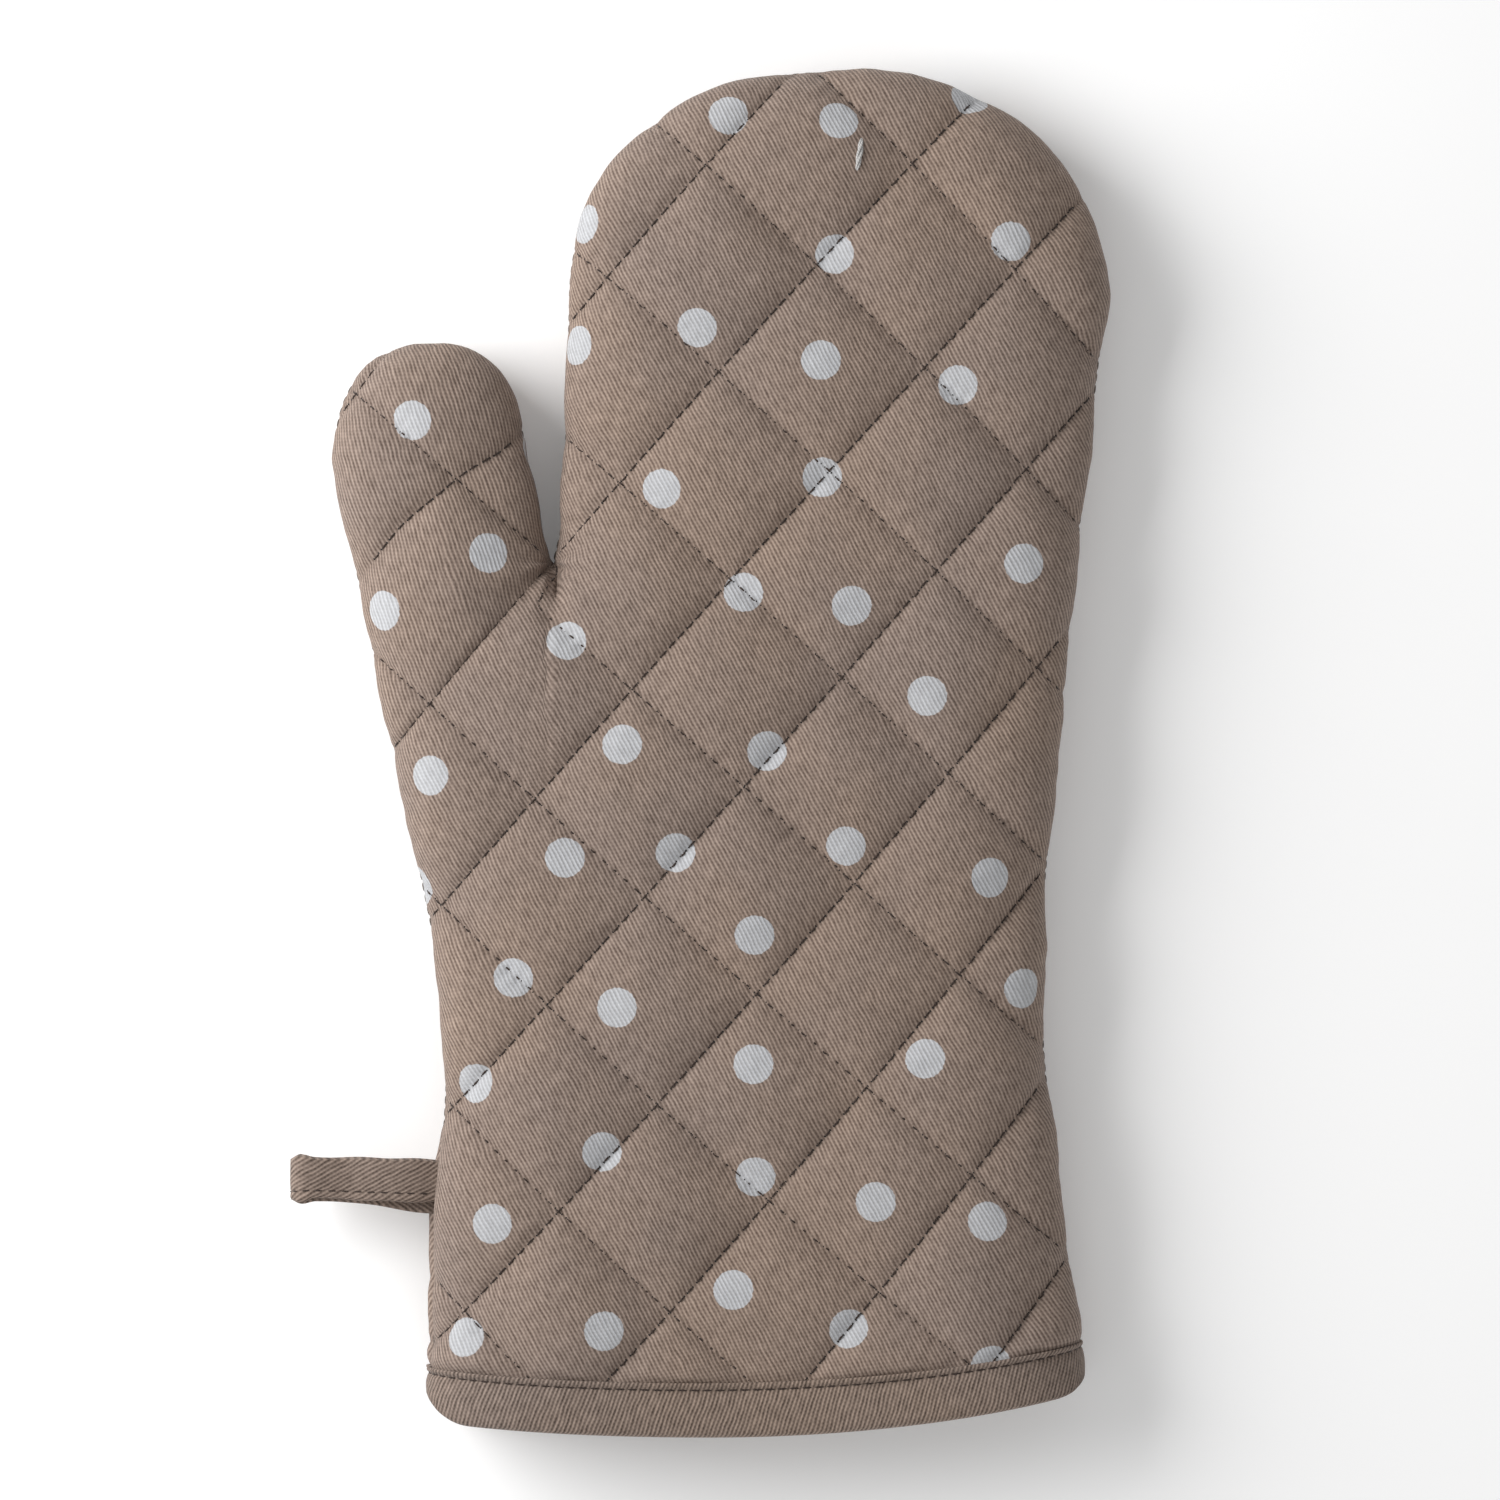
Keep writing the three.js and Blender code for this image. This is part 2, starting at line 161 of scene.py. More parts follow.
BINDING_WIDTH = 11.7
BINDING_BULK = 1.25  # how far the tape stands off the cover
BINDING_ROUND = 1.2  # how far it reaches below the cover's end
CUFF_MIDDLE_X = 4.0  # the cuff's end is lowest here
CUFF_RISE_LEFT, CUFF_RISE_RIGHT = 3.4, 10.5  # and is drawn up this far at its two sides
CUFF_BOW_HEIGHT = 60.0  # the rows above bow less and less, up to here
CORNER_LEFT, CORNER_RIGHT = (9.5, 7.5), (4.5, 4.5)  # reach and lift where the cuff is rounded
TAPE_IN = 1.6  # how far beyond the lining the tape's inner leg lies
TAPE_LOWEST = 0.12  # above the table
GROOVE_BELOW_TOP = 1.7  # of the stitched groove, below the tape's upper edge
GROOVE_POINT = 7  # of the tape's outline, which lies in the groove

FRONT, BACK = "front", "back"


# ------------------------------------------------------------------ small helpers


def smoothstep(value, low, high):
    share = np.clip((value - low) / (high - low), 0, 1)
    return share * share * (3 - 2 * share)


def bell(offset, width):
    """1 in the middle, and fading out on both sides."""
    return np.exp(-((offset / width) ** 2))


def curve_through(points):
    """A smooth x against y through a few (y, x) points."""
    ys, xs = np.array(points, float).T
    slopes = np.gradient(xs, ys)

    def curve(y):
        y = np.clip(np.asarray(y, float), ys[0], ys[-1])
        i = np.clip(np.searchsorted(ys, y) - 1, 0, len(ys) - 2)
        h = ys[i + 1] - ys[i]
        t = (y - ys[i]) / h
        start = (2 * t**3 - 3 * t**2 + 1) * xs[i] + (t**3 - 2 * t**2 + t) * h * slopes[i]
        return start + (3 * t**2 - 2 * t**3) * xs[i + 1] + (t**3 - t**2) * h * slopes[i + 1]

    return curve


def waves(x, y, length, seed):
    """Gentle unevenness, mostly between -1 and 1, with about that wavelength."""
    draw = np.random.default_rng(seed)
    total = np.zeros_like(x)
    for _ in range(6):
        angle, phase = draw.uniform(0, 2 * math.pi, 2)
        k = 2 * math.pi / (length * draw.uniform(0.75, 1.4))
        total += np.sin(k * (x * math.cos(angle) + y * math.sin(angle)) + phase)
    return total / 3.2


def unit(vectors):
    return vectors / np.maximum(np.linalg.norm(vectors, axis=-1, keepdims=True), 1e-9)


def run_along(line):
    """How far along a line each of its points lies."""
    return np.concatenate([[0], np.linalg.norm(np.diff(line, axis=0), axis=1).cumsum()])


def values_at(places, run, line):
    """The points of a line at other places along it."""
    return np.stack([np.interp(places, run, line[:, k]) for k in range(line.shape[1])], -1)


def search_tree(points):
    tree = KDTree(len(points))
    for index, point in enumerate(points):
        tree.insert(point, index)
    tree.balance()
    return tree


def plan_tree(plan):
    """A search tree over points as seen from above."""
    return search_tree(np.pad(plan, ((0, 0), (0, 1))))


# ------------------------------------------------------------------ the outline

COVER_NODES = ["front_cover_palm", "front_cover_fingers", "front_cover_thumb"]
BINDING_LOW, BINDING_HIGH = node_box("cuff_binding")
LOBE_GAP_X = np.mean([corner[0] for corner in node_box("side_seam_crotch")])
ABOVE_BINDING_Y = CUFF_END_Y + 26.0


def crossings(y):
    """Every x at which the edges of the CAD covers cross a line at y."""
    found = []
    for name in COVER_NODES:
        mesh = frame["nodes"][name].data
        places = np.empty(len(mesh.vertices) * 3)
        mesh.vertices.foreach_get("co", places)
        ends = np.empty(len(mesh.edges) * 2, int)
        mesh.edges.foreach_get("vertices", ends)
        first, second = (places.reshape(-1, 3)[ends.reshape(-1, 2)] / MM).transpose(1, 0, 2)
        rise = second[:, 1] - first[:, 1]
        crossing = ((first[:, 1] - y) * (second[:, 1] - y) <= 0) & (np.abs(rise) > 1e-6)
        share = (y - first[crossing, 1]) / rise[crossing]
        found.append(first[crossing, 0] + (second - first)[crossing, 0] * share)
    return np.concatenate(found)


def edge_between(low_y, high_y, count, pick):
    """Points of one of the CAD's edges, at even heights."""
    return [(y, pick(crossings(y))) for y in np.linspace(low_y, high_y, count)]


left_low = curve_through(
    [(CUFF_END_Y, BINDING_LOW[0] + BINDING_BULK)]
    + edge_between(ABOVE_BINDING_Y, ROUND_THUMB_Y, 11, np.min)
)
right_edge = curve_through(
    [(CUFF_END_Y, BINDING_HIGH[0] - BINDING_BULK)]
    + edge_between(ABOVE_BINDING_Y, ROUND_HAND_Y, 11, np.max)
)
thumb_right = curve_through(
    [(CROTCH[1], CROTCH[0])]
    + edge_between(CROTCH[1] + 14, ROUND_THUMB_Y, 2, lambda x: x[x < LOBE_GAP_X].max())
)
hand_left = curve_through(
    [(CROTCH[1], CROTCH[0])]
    + edge_between(CROTCH[1] + 14, ROUND_HAND_Y, 4, lambda x: x[x > LOBE_GAP_X].min())
)


def mouth_end(x):
    """How far the cuff's end is drawn up, which is more towards its sides."""
    left = np.clip((CUFF_MIDDLE_X - x) / (CUFF_MIDDLE_X - BINDING_LOW[0]), 0, 1)
    right = np.clip((x - CUFF_MIDDLE_X) / (BINDING_HIGH[0] - CUFF_MIDDLE_X), 0, 1)
    return CUFF_RISE_LEFT * left**2 + CUFF_RISE_RIGHT * right**2


def rounded_corner(distance, reach, lift):
    """How far an edge is lifted at a distance from its end, where its corner is rounded."""
    share = np.clip((reach - distance) / reach, 0, 0.995)
    return lift * (1 - np.sqrt(1 - share * share))


def valley(y):
    """The column of the mesh that runs down from the crotch to the cuff."""
    return CROTCH[0] + (y - CROTCH[1]) * VALLEY_LEAN


def seam_inset(y):
    """How far the seam lies inside the widest line: nothing at the crotch."""
    return RIM * smoothstep(y, CROTCH[1], CROTCH[1] + 8)


def lobe_width(y, start, tip, fullness):
    """The share of a lobe's width that is left at y, where it rounds off to its tip."""
    share = np.clip((y - start) / (tip - start), 0, 1)
    return (1 - share**fullness) ** (1 / fullness)


def rise_share(distance, fullness):
    """How much of its full height a panel has at a distance from the seam."""
    t = np.clip(distance / BEND_RADIUS, 0, 1)
    return (1 - (1 - t) ** fullness) ** (1 / fullness)


FRONT_FULLNESS, BACK_FULLNESS = 2.4, 2.9
ARC_RUN = np.linspace(0, 1, 600) ** 2.2 * BEND_RADIUS
ARC_RISE = 14.0 * rise_share(ARC_RUN, FRONT_FULLNESS)
ARC_LENGTH = np.concatenate([[0], np.cumsum(np.hypot(np.diff(ARC_RUN), np.diff(ARC_RISE)))])


def even_steps(length, count, rim_start, rim_end):
    """Positions from 0 to length that are evenly spaced along the curved cloth."""
    x = np.linspace(0, 1, 700)
    x = length * (x - SIDE_CROWDING * np.sin(2 * math.pi * x))
    along = x.copy()
    if rim_start:
        along += np.interp(x, ARC_RUN, ARC_LENGTH - ARC_RUN)
    if rim_end:
        along -= np.interp(length - x, ARC_RUN, ARC_LENGTH - ARC_RUN)
    along -= along[0]
    return np.interp(np.linspace(0, along[-1], count + 1), along, x)


# ------------------------------------------------------------------ the flat grid of a panel


def over_lobe(rows):
    """The points along a lobe's edge: up its left side, over its tip and down its right."""
    return [row[0] for row in rows[:-1]] + list(rows[-1]) + [row[-1] for row in rows[-2::-1]]


class Grid:
    """The plan of a panel as quads: rows up the palm, then the thumb's rows and the hand's."""

    def __init__(self, step):
        self.step = step
        self.rows, self.quads, self.count = [], [], 0
        self.thumb_columns = self.steps_for(THUMB_WIDTH, 2)
        self.hand_columns = self.steps_for(HAND_WIDTH, 2)
        self.width = self.thumb_columns + self.hand_columns + 1
        self.cuff_y = CUFF_END_Y + BINDING_ROUND
        last_row = self.add_palm()
        thumb_rows = self.add_lobe(
            last_row[: self.thumb_columns + 1],
            lambda y: left_low(y) + RIM,
            lambda y: thumb_right(y) - seam_inset(y),
            (ROUND_THUMB_Y, THUMB_TIP_Y - RIM, THUMB_FULLNESS),
        )
        hand_rows = self.add_lobe(
            last_row[self.thumb_columns:],
            lambda y: hand_left(y) + seam_inset(y),
            lambda y: right_edge(y) - RIM,
            (ROUND_HAND_Y, FINGERTIP_Y - RIM, HAND_FULLNESS),
        )
        self.crotch = last_row[self.thumb_columns]
        self.plan = np.concatenate(self.rows)
        self.quads = np.concatenate(self.quads)
        self.outline = self.ring(thumb_rows, hand_rows)
        self.on_thumb = np.zeros(len(self.plan), bool)
        self.on_thumb[np.concatenate(thumb_rows)] = True
        self.part_thumb()
        self.measure()

    def steps_for(self, length, rims):
        return max(4, int(round((length + rims * SIDE_EXTRA) / self.step)))

    def add_row(self, x, y):
        self.rows.append(np.stack([x, y], 1))
        ids = np.arange(self.count, self.count + len(x))
        self.count += len(x)
        return ids

    def join_rows(self, below, above):
        self.quads.append(np.stack([below[:-1], below[1:], above[1:], above[:-1]], 1))

    def add_palm(self):
        length = CROTCH[1] - self.cuff_y
        self.palm_y = self.cuff_y + even_steps(length, self.steps_for(length, 0.6), False, True)
        ids = None
        for y in self.palm_y:
            low, middle, high = left_low(y) + RIM, valley(y), right_edge(y) - RIM
            near = math.exp(-(CROTCH[1] - y) / 7)
            x = np.concatenate([
                low + self.mixed_steps(middle - low, self.thumb_columns, near, True),
                middle + self.mixed_steps(high - middle, self.hand_columns, near, False)[1:],
            ])
            new_ids = self.add_row(x, y + self.cuff_bow(x, y, low, high))
            if ids is not None:
                self.join_rows(ids, new_ids)
            ids = new_ids
        return ids

    def mixed_steps(self, length, count, near, rim_first):
        plain = even_steps(length, count, rim_first, not rim_first)
        return (1 - near) * plain + near * even_steps(length, count, True, True)

    def cuff_bow(self, x, y, low, high):
        """How far the cuff's rows are moved up: most at the sides, and at the rounded corners."""
        up = y - self.cuff_y
        bow = mouth_end(x) * (1 - smoothstep(up, 0, CUFF_BOW_HEIGHT))
        corners = rounded_corner(x - low, *CORNER_LEFT) + rounded_corner(high - x, *CORNER_RIGHT)
        return bow + corners * (1 - smoothstep(up, -2, 12))

    def add_lobe(self, ids, low_of, high_of, ending):
        start, tip, fullness = ending
        columns = len(ids) - 1
        length = tip - CROTCH[1]
        ys = CROTCH[1] + even_steps(length, self.steps_for(length, 1), False, True)[1:]
        lobe_rows = []
        for y in ys:
            low, high = low_of(min(y, start)), high_of(min(y, start))
            half = (high - low) / 2 * lobe_width(y, start, tip + 0.15, fullness)
            x = (low + high) / 2 - half + even_steps(2 * half, columns, True, True)
            new_ids = self.add_row(x, np.full_like(x, y))
            self.join_rows(ids, new_ids)
            ids = new_ids
            lobe_rows.append(ids)
        return lobe_rows

    def ring(self, thumb_rows, hand_rows):
        """The points along the side seam, from the cuff's left end round to its right end."""
        left = [row * self.width for row in range(len(self.palm_y))]
        right = [start + self.width - 1 for start in left[::-1]]
        over_thumb, over_hand = over_lobe(thumb_rows), over_lobe(hand_rows)
        return np.array(left + over_thumb + [self.crotch] + over_hand + right)

    def part_thumb(self):
        """Divides the quads at the thumb's row and moves the points between onto the row."""
        centre = self.plan[self.quads].mean(axis=1)
        centre_t = lattice(self.plan, self.on_thumb)[1][self.quads].mean(axis=1)
        lobe = self.on_thumb[self.quads].any(axis=1)
        left = (centre[:, 0] < valley(centre[:, 1])) & (centre[:, 1] < CROTCH[1])
        self.is_thumb = lobe | (left & (centre_t < THUMB_ROW) & (centre[:, 1] > -20))
        thumb_points, hand_points = self.quads[self.is_thumb], self.quads[~self.is_thumb]
        shared = np.setdiff1d(np.intersect1d(thumb_points, hand_points), [self.crotch])
        for _ in range(4):
            self.plan[shared] += self.step_to_row(shared)
        self.cut = shared

    def step_to_row(self, ids):
        """A short move that brings points nearer to the thumb's row. Seam points stay."""
        here, slopes = lattice_slopes(self.plan[ids], self.on_thumb[ids])
        slope = slopes[:, 1]
        scale = (THUMB_ROW - here[:, 1]) / (slope[:, 0] ** 2 + slope[:, 1] ** 2)
        move = scale[:, None] * slope
        move[np.isin(ids, self.outline)] = 0
        length = np.linalg.norm(move, axis=1, keepdims=True)
        return move * np.minimum(1, 0.8 * self.step / np.maximum(length, 1e-9))

    def measure(self):
        """Distance of every point from the seam, and its place on the cloth before it curved."""
        ring = self.plan[self.outline]
        along = run_along(ring)
        dense = values_at(np.arange(0, along[-1], SEAM_SAMPLE), along, ring)
        tangent = unit(np.gradient(dense, axis=0))
        outward = np.stack([-tangent[:, 1], tangent[:, 0]], 1)
        tree = plan_tree(dense)
        nearest = np.array([tree.find((x, y, 0))[1] for x, y in self.plan])
        gap = dense[nearest] - self.plan
        straight = np.linalg.norm(gap, axis=1)
        square = np.abs((gap * outward[nearest]).sum(axis=1))
        beside = np.abs((gap * tangent[nearest]).sum(axis=1)) < 0.3
        self.distance = np.where(beside, np.minimum(square, straight), straight)
        self.distance[self.outline] = 0
        far = straight[:, None] > 0.6
        direction = np.where(far, gap / np.maximum(straight, 1e-9)[:, None], outward[nearest])
        self.outward = direction
        self.arc = np.interp(self.distance, ARC_RUN, ARC_LENGTH)
        spare = (ARC_LENGTH[-1] - ARC_LENGTH) - (ARC_RUN[-1] - ARC_RUN)
        extra = np.interp(self.distance, ARC_RUN, spare)
        self.cloth = self.plan + direction * extra[:, None]
        row_of_point = np.minimum(np.arange(len(self.plan)) // self.width, len(self.palm_y) - 1)
        self.from_cuff = self.palm_y[row_of_point] - self.cuff_y


ROW_ACROSS = np.array([[math.cos(turn), math.sin(turn)] for turn in np.radians(ROW_TURNS)])


def before_turning_down(plan):
    """The plan with its sides spread out again, as the cloth lay when it was quilted."""
    plan = np.atleast_2d(plan)
    return plan * (1 + SIDE_DRAW * (plan[:, :1] / HALF_WIDTH) ** 2)


def lattice(plan, on_thumb):
    """Quilting coordinates: rows lie where either is a whole number. They are straight on the
    flat cloth, and one of them runs from the crotch."""
    offset = before_turning_down(plan) - before_turning_down(CROTCH)
    s, t = (ROWS_AT_CROTCH + offset @ ROW_ACROSS.T / CELL).T
    above = smoothstep(plan[:, 1], 32, CROTCH[1])
    beside = 1 - smoothstep(plan[:, 0], -33, -20)
    fade = np.where(on_thumb, 1, 1 - smoothstep(plan[:, 1], CROTCH[1], 62))
    s = s - CROTCH_ROW_BEND * above * beside * fade
    shift = THUMB_ROW_SHIFT * smoothstep(plan[:, 1], 50, 64)
    at_side = smoothstep(plan[:, 0], -60, -42)
    shift = shift + THUMB_SIDE_SHIFT * at_side * smoothstep(plan[:, 1], 50, 70)
    t = t - np.where(on_thumb, shift, 0)
    return s, t


def lattice_slopes(plan, on_thumb):
    """The quilting coordinates of points, and how each changes with x and with y."""
    here = np.stack(lattice(plan, on_thumb), 1)
    beside = [np.stack(lattice(plan + step, on_thumb), 1) for step in ([PROBE, 0], [0, PROBE])]
    return here, np.stack([(values - here) / PROBE for values in beside], 2)


# ------------------------------------------------------------------ heights of the layers


def vertex_normals(points, quads):
    a, b, c, d = (points[quads[:, k]] for k in range(4))
    face = np.cross(c - a, d - b)
    normals = np.zeros_like(points)
    for k in range(4):
        np.add.at(normals, quads[:, k], face)
    return unit(normals)


def outward_normals(grid, points, side):
    """A panel's normals, made to face out where the seam's narrow faces would turn them in."""
    normals = vertex_normals(points, grid.quads) * (1 if side == FRONT else -1)
    facing = (normals[:, :2] * grid.outward).sum(axis=1)
    upright = normals[:, 2] * (1 if side == FRONT else -1)
    turned_in = (grid.distance < SEAM_BAND) & ((facing < 0) | (upright < -0.05))
    normals[turned_in] = np.pad(grid.outward[turned_in], ((0, 0), (0, 1)))
    return normals


def base_surface(grid, side):
    """The panel as its quilting rows hold it, before the squares puff up."""
    x, y = grid.plan.T
    if side == FRONT:
        height = FRONT_HEIGHT - FRONT_LOWER_PALM * smoothstep(y, -150, -90)
        height = height - FRONT_LOWER_FINGERS * smoothstep(y, 0, 100)
        by_thumb = grid.on_thumb | (x < CROTCH[0])
        height = height - FRONT_LOWER_THUMB * np.where(by_thumb, smoothstep(y, -20, 45), 0)
        height = height + 0.7 * waves(x, y, 75, 3)
        z = SEAM_Z + height * rise_share(grid.distance, FRONT_FULLNESS)
    else:
        at_cuff = 1 - smoothstep(y, -145, -115)
        height = BACK_DEPTH - BACK_SHALLOWER_AT_CUFF * at_cuff + 0.5 * waves(x, y, 90, 5)
        z = SEAM_Z - height * rise_share(grid.distance, BACK_FULLNESS)
    return np.stack([x, y, z], 1)


def cell_strength(s, t):
    """Each quilted square's own fullness, near 1."""
    cell = np.floor(s) * 12.9898 + np.floor(t) * 78.233
    return 0.88 + 0.24 * np.modf(np.abs(np.sin(cell)) * 437.585)[0]


def pillow_shape(s, t):
    """How far a point stands out between the rows, from 0 on a row to about 1."""
    shape = cell_strength(s, t)
    for value in (s, t):
        q = 2 * np.abs(value - np.round(value))
        shape = shape * (1 - (1 - q) ** 2.3)
    return np.maximum(shape, 0) ** 0.8


def crotch_folds(plan):
    """Short folds that spread from the crotch, and the pinch below it."""
    offset = plan - CROTCH
    reach = np.linalg.norm(offset, axis=1)
    angle = np.arctan2(offset[:, 1], offset[:, 0])
    folds = CROTCH_FOLD * np.cos(7 * angle + 0.6) * np.exp(-reach / 11) * (1 - np.exp(-reach / 3))
    along = -offset[:, 1]
    beside = offset[:, 0] - 0.16 * along
    length = smoothstep(along, -1, 2) * (1 - smoothstep(along, 5, 16))
    pinch = bell(beside, 1.9) * length
    return folds - CROTCH_PINCH * pinch


def panel_shape(grid, side):
    """Points and outward normals of a panel's outer face, with its quilting coordinates."""
    base = base_surface(grid, side)
    normals = outward_normals(grid, base, side)
    s, t = lattice(grid.plan, grid.on_thumb)
    held = smoothstep(grid.from_cuff, BINDING_WIDTH - 2.5, BINDING_WIDTH + 3)
    near_seam = 1 - bell(grid.arc, 2.4)
    base = base + normals * (crotch_folds(grid.plan) * near_seam)[:, None]
    pillow = pillow_shape(s, t) * held
    x, y = grid.plan.T
    s_gap, t_gap = (np.abs(v - np.round(v)) * CELL for v in (s, t))
    in_row = bell(np.minimum(s_gap, t_gap), 0.9)
    beat = 2 * math.pi * STITCHES_PER_CELL
    pucker = np.cos(beat * t) * np.exp(-s_gap / 2.4) + np.cos(beat * s) * np.exp(-t_gap / 2.4)
    out = pillow * PUFF_OUT * (0.35 + 0.65 * smoothstep(grid.arc, 0, 14))
    out += (WRINKLE * waves(x, y, 21, 11) + FINE_WRINKLE * waves(x, y, 7, 12) * pillow) * held
    out += (PUCKER * pucker - ROW_GROOVE * in_row) * held
    out = out * near_seam - 0.5 * (1 - near_seam)
    if side == BACK:
        sliver = smoothstep(-x, 50, 58) * smoothstep(-y, 80, 105) * np.exp(-grid.arc / 9)
        out += LOOP_SIDE_SWELL * sliver * near_seam * held
    points = base + normals * out[:, None]
    if side == BACK:
        soft = 0.45
        points[:, 2] = TABLE + soft * np.logaddexp(0, (points[:, 2] - TABLE) / soft)
    points[grid.outline, 2] = SEAM_Z
    return {"points": points, "base": base, "normals": normals, "pillow": pillow, "s": s, "t": t}


cover_grid = Grid(COVER_STEP)
inner_grid = Grid(INNER_STEP)
covers = {side: panel_shape(cover_grid, side) for side in (FRONT, BACK)}
inners = {side: panel_shape(inner_grid, side) for side in (FRONT, BACK)}


# ------------------------------------------------------------------ the print

DOT_SEEDS = {FRONT: 1, BACK: 2}


def dot_places(side):
    """The middles of the printed dots: scattered at random, but never crowded."""
    draw = np.random.default_rng(DOT_SEEDS[side])
    low = cover_grid.plan.min(axis=0) - DOT_RADIUS
    high = cover_grid.plan.max(axis=0) + DOT_RADIUS
    places = []
    for place in draw.uniform(low, high, (DOT_TRIES, 2)):
        if all(math.dist(place, other) > DOT_SPACING for other in places):
            places.append(place)
    return places


def distance_to_dots(side, points):
    """Distance of each point from the middle of the nearest dot, along the cloth."""
    tree = plan_tree(cover_grid.plan)
    centres = []
    for x, y in dot_places(side):
        index = tree.find((x, y, 0))[1]
        offset = np.array([x, y]) - cover_grid.plan[index]
        if np.linalg.norm(offset) < 6:
            centres.append(points[index] + [offset[0], offset[1], 0])
    dots = search_tree(centres)
    return np.array([dots.find(point)[2] for point in points])


# ------------------------------------------------------------------ making meshes


def build_mesh(name, points, faces, attributes):
    """A smooth mesh object from points in millimetres, faces, and values for each point."""
    mesh = bpy.data.meshes.new(name)
    mesh.from_pydata((np.asarray(points) * MM).tolist(), [], faces)
    for key, values in attributes.items():
        values = np.asarray(values, np.float32)
        kind = "FLOAT" if values.ndim == 1 else "FLOAT_VECTOR"
        layer = mesh.attributes.new(key, kind, "POINT")
        layer.data.foreach_set("value" if values.ndim == 1 else "vector", values.ravel())
    mesh.polygons.foreach_set("use_smooth", [True] * len(mesh.polygons))
    mesh.update()
    obj = bpy.data.objects.new(name, mesh)
    bpy.context.scene.collection.objects.link(obj)
    return obj


def mark_sharp(obj, pairs):
    """Keeps the shading from rounding over these edges, given as pairs of points."""
    pairs = {frozenset(pair) for pair in pairs}
    sharp = obj.data.attributes.new("sharp_edge", "BOOLEAN", "EDGE")
    sharp.data.foreach_set("value", [frozenset(edge.vertices) in pairs for edge in obj.data.edges])


def closed_layer(name, quads, outer, inner, attributes):
    """A closed sheet between two surfaces that share the same faces."""
    used = np.unique(quads)
    index = np.full(len(outer), -1)
    index[used] = np.arange(len(used))
    top = index[quads]
    count = len(used)
    bottom = top[:, ::-1] + count
    sides = np.stack([top, np.roll(top, -1, axis=1)], 2).reshape(-1, 2)
    known = set(map(tuple, sides.tolist()))
    rim = [(a, b) for a, b in known if (b, a) not in known]
    rim.sort()
    walls = [(b, a, a + count, b + count) for a, b in rim]
    points = np.concatenate([outer[used], inner[used]])
    doubled = {key: np.concatenate([value[used]] * 2) for key, value in attributes.items()}
    obj = build_mesh(name, points, top.tolist() + bottom.tolist() + walls, doubled)
    mark_sharp(obj, rim + [(a + count, b + count) for a, b in rim])
    return obj


def lofted_ring(name, sections, attributes, close_around):
    """A tube from sections of points, each a closed loop, joined in order."""
    count, sides = sections.shape[:2]
    faces = []
    for i in range(count if close_around else count - 1):
        j = (i + 1) % count
        for k in range(sides):
            m = (k + 1) % sides
            faces.append((i * sides + k, j * sides + k, j * sides + m, i * sides + m))
    if not close_around:
        faces.append(tuple(range(sides)))
        faces.append(tuple((count - 1) * sides + k for k in range(sides))[::-1])
    return build_mesh(name, sections.reshape(-1, 3), faces, attributes)


THREAD_SIDES = 7


def threads(name, paths, ups, radius, shaded_hole_flags=None):
    """Short round threads with tapered ends, one for each path of points."""
    paths, ups = np.asarray(paths, float), np.asarray(ups, float)
    radius = np.broadcast_to(radius, len(paths))
    shaded_hole_flags = np.zeros(len(paths)) if shaded_hole_flags is None else shaded_hole_flags
    stitches, steps = paths.shape[:2]
    tangent = unit(np.gradient(paths, axis=1))
    side = unit(np.cross(ups[:, None, :], tangent))
    up = np.cross(tangent, side)
    along = np.linspace(-1, 1, steps)
    taper = radius[:, None] * (0.25 + 0.75 * (1 - along**4))
    turn = np.linspace(0, 2 * math.pi, THREAD_SIDES, endpoint=False)
    ring = np.cos(turn)[:, None] * side[:, :, None, :] + np.sin(turn)[:, None] * up[:, :, None, :]
    points = paths[:, :, None, :] + ring * taper[:, :, None, None]
    run = np.linalg.norm(np.diff(paths, axis=1), axis=2).cumsum(1)
    run = np.pad(run, ((0, 0), (1, 0)))
    strand = np.stack(np.broadcast_arrays(run[:, :, None], turn, shaded_hole_flags[:, None, None]), -1)
    each = steps * THREAD_SIDES
    one = [
        (i * THREAD_SIDES + k, i * THREAD_SIDES + (k + 1) % THREAD_SIDES,
         (i + 1) * THREAD_SIDES + (k + 1) % THREAD_SIDES, (i + 1) * THREAD_SIDES + k)
        for i in range(steps - 1) for k in range(THREAD_SIDES)
    ]
    one += [tuple(range(THREAD_SIDES))[::-1], tuple(range(each - THREAD_SIDES, each))]
    faces = [tuple(v + n * each for v in face) for n in range(stitches) for face in one]
    return build_mesh(name, points.reshape(-1, 3), faces, {"strand": strand.reshape(-1, 3)})


# ------------------------------------------------------------------ materials


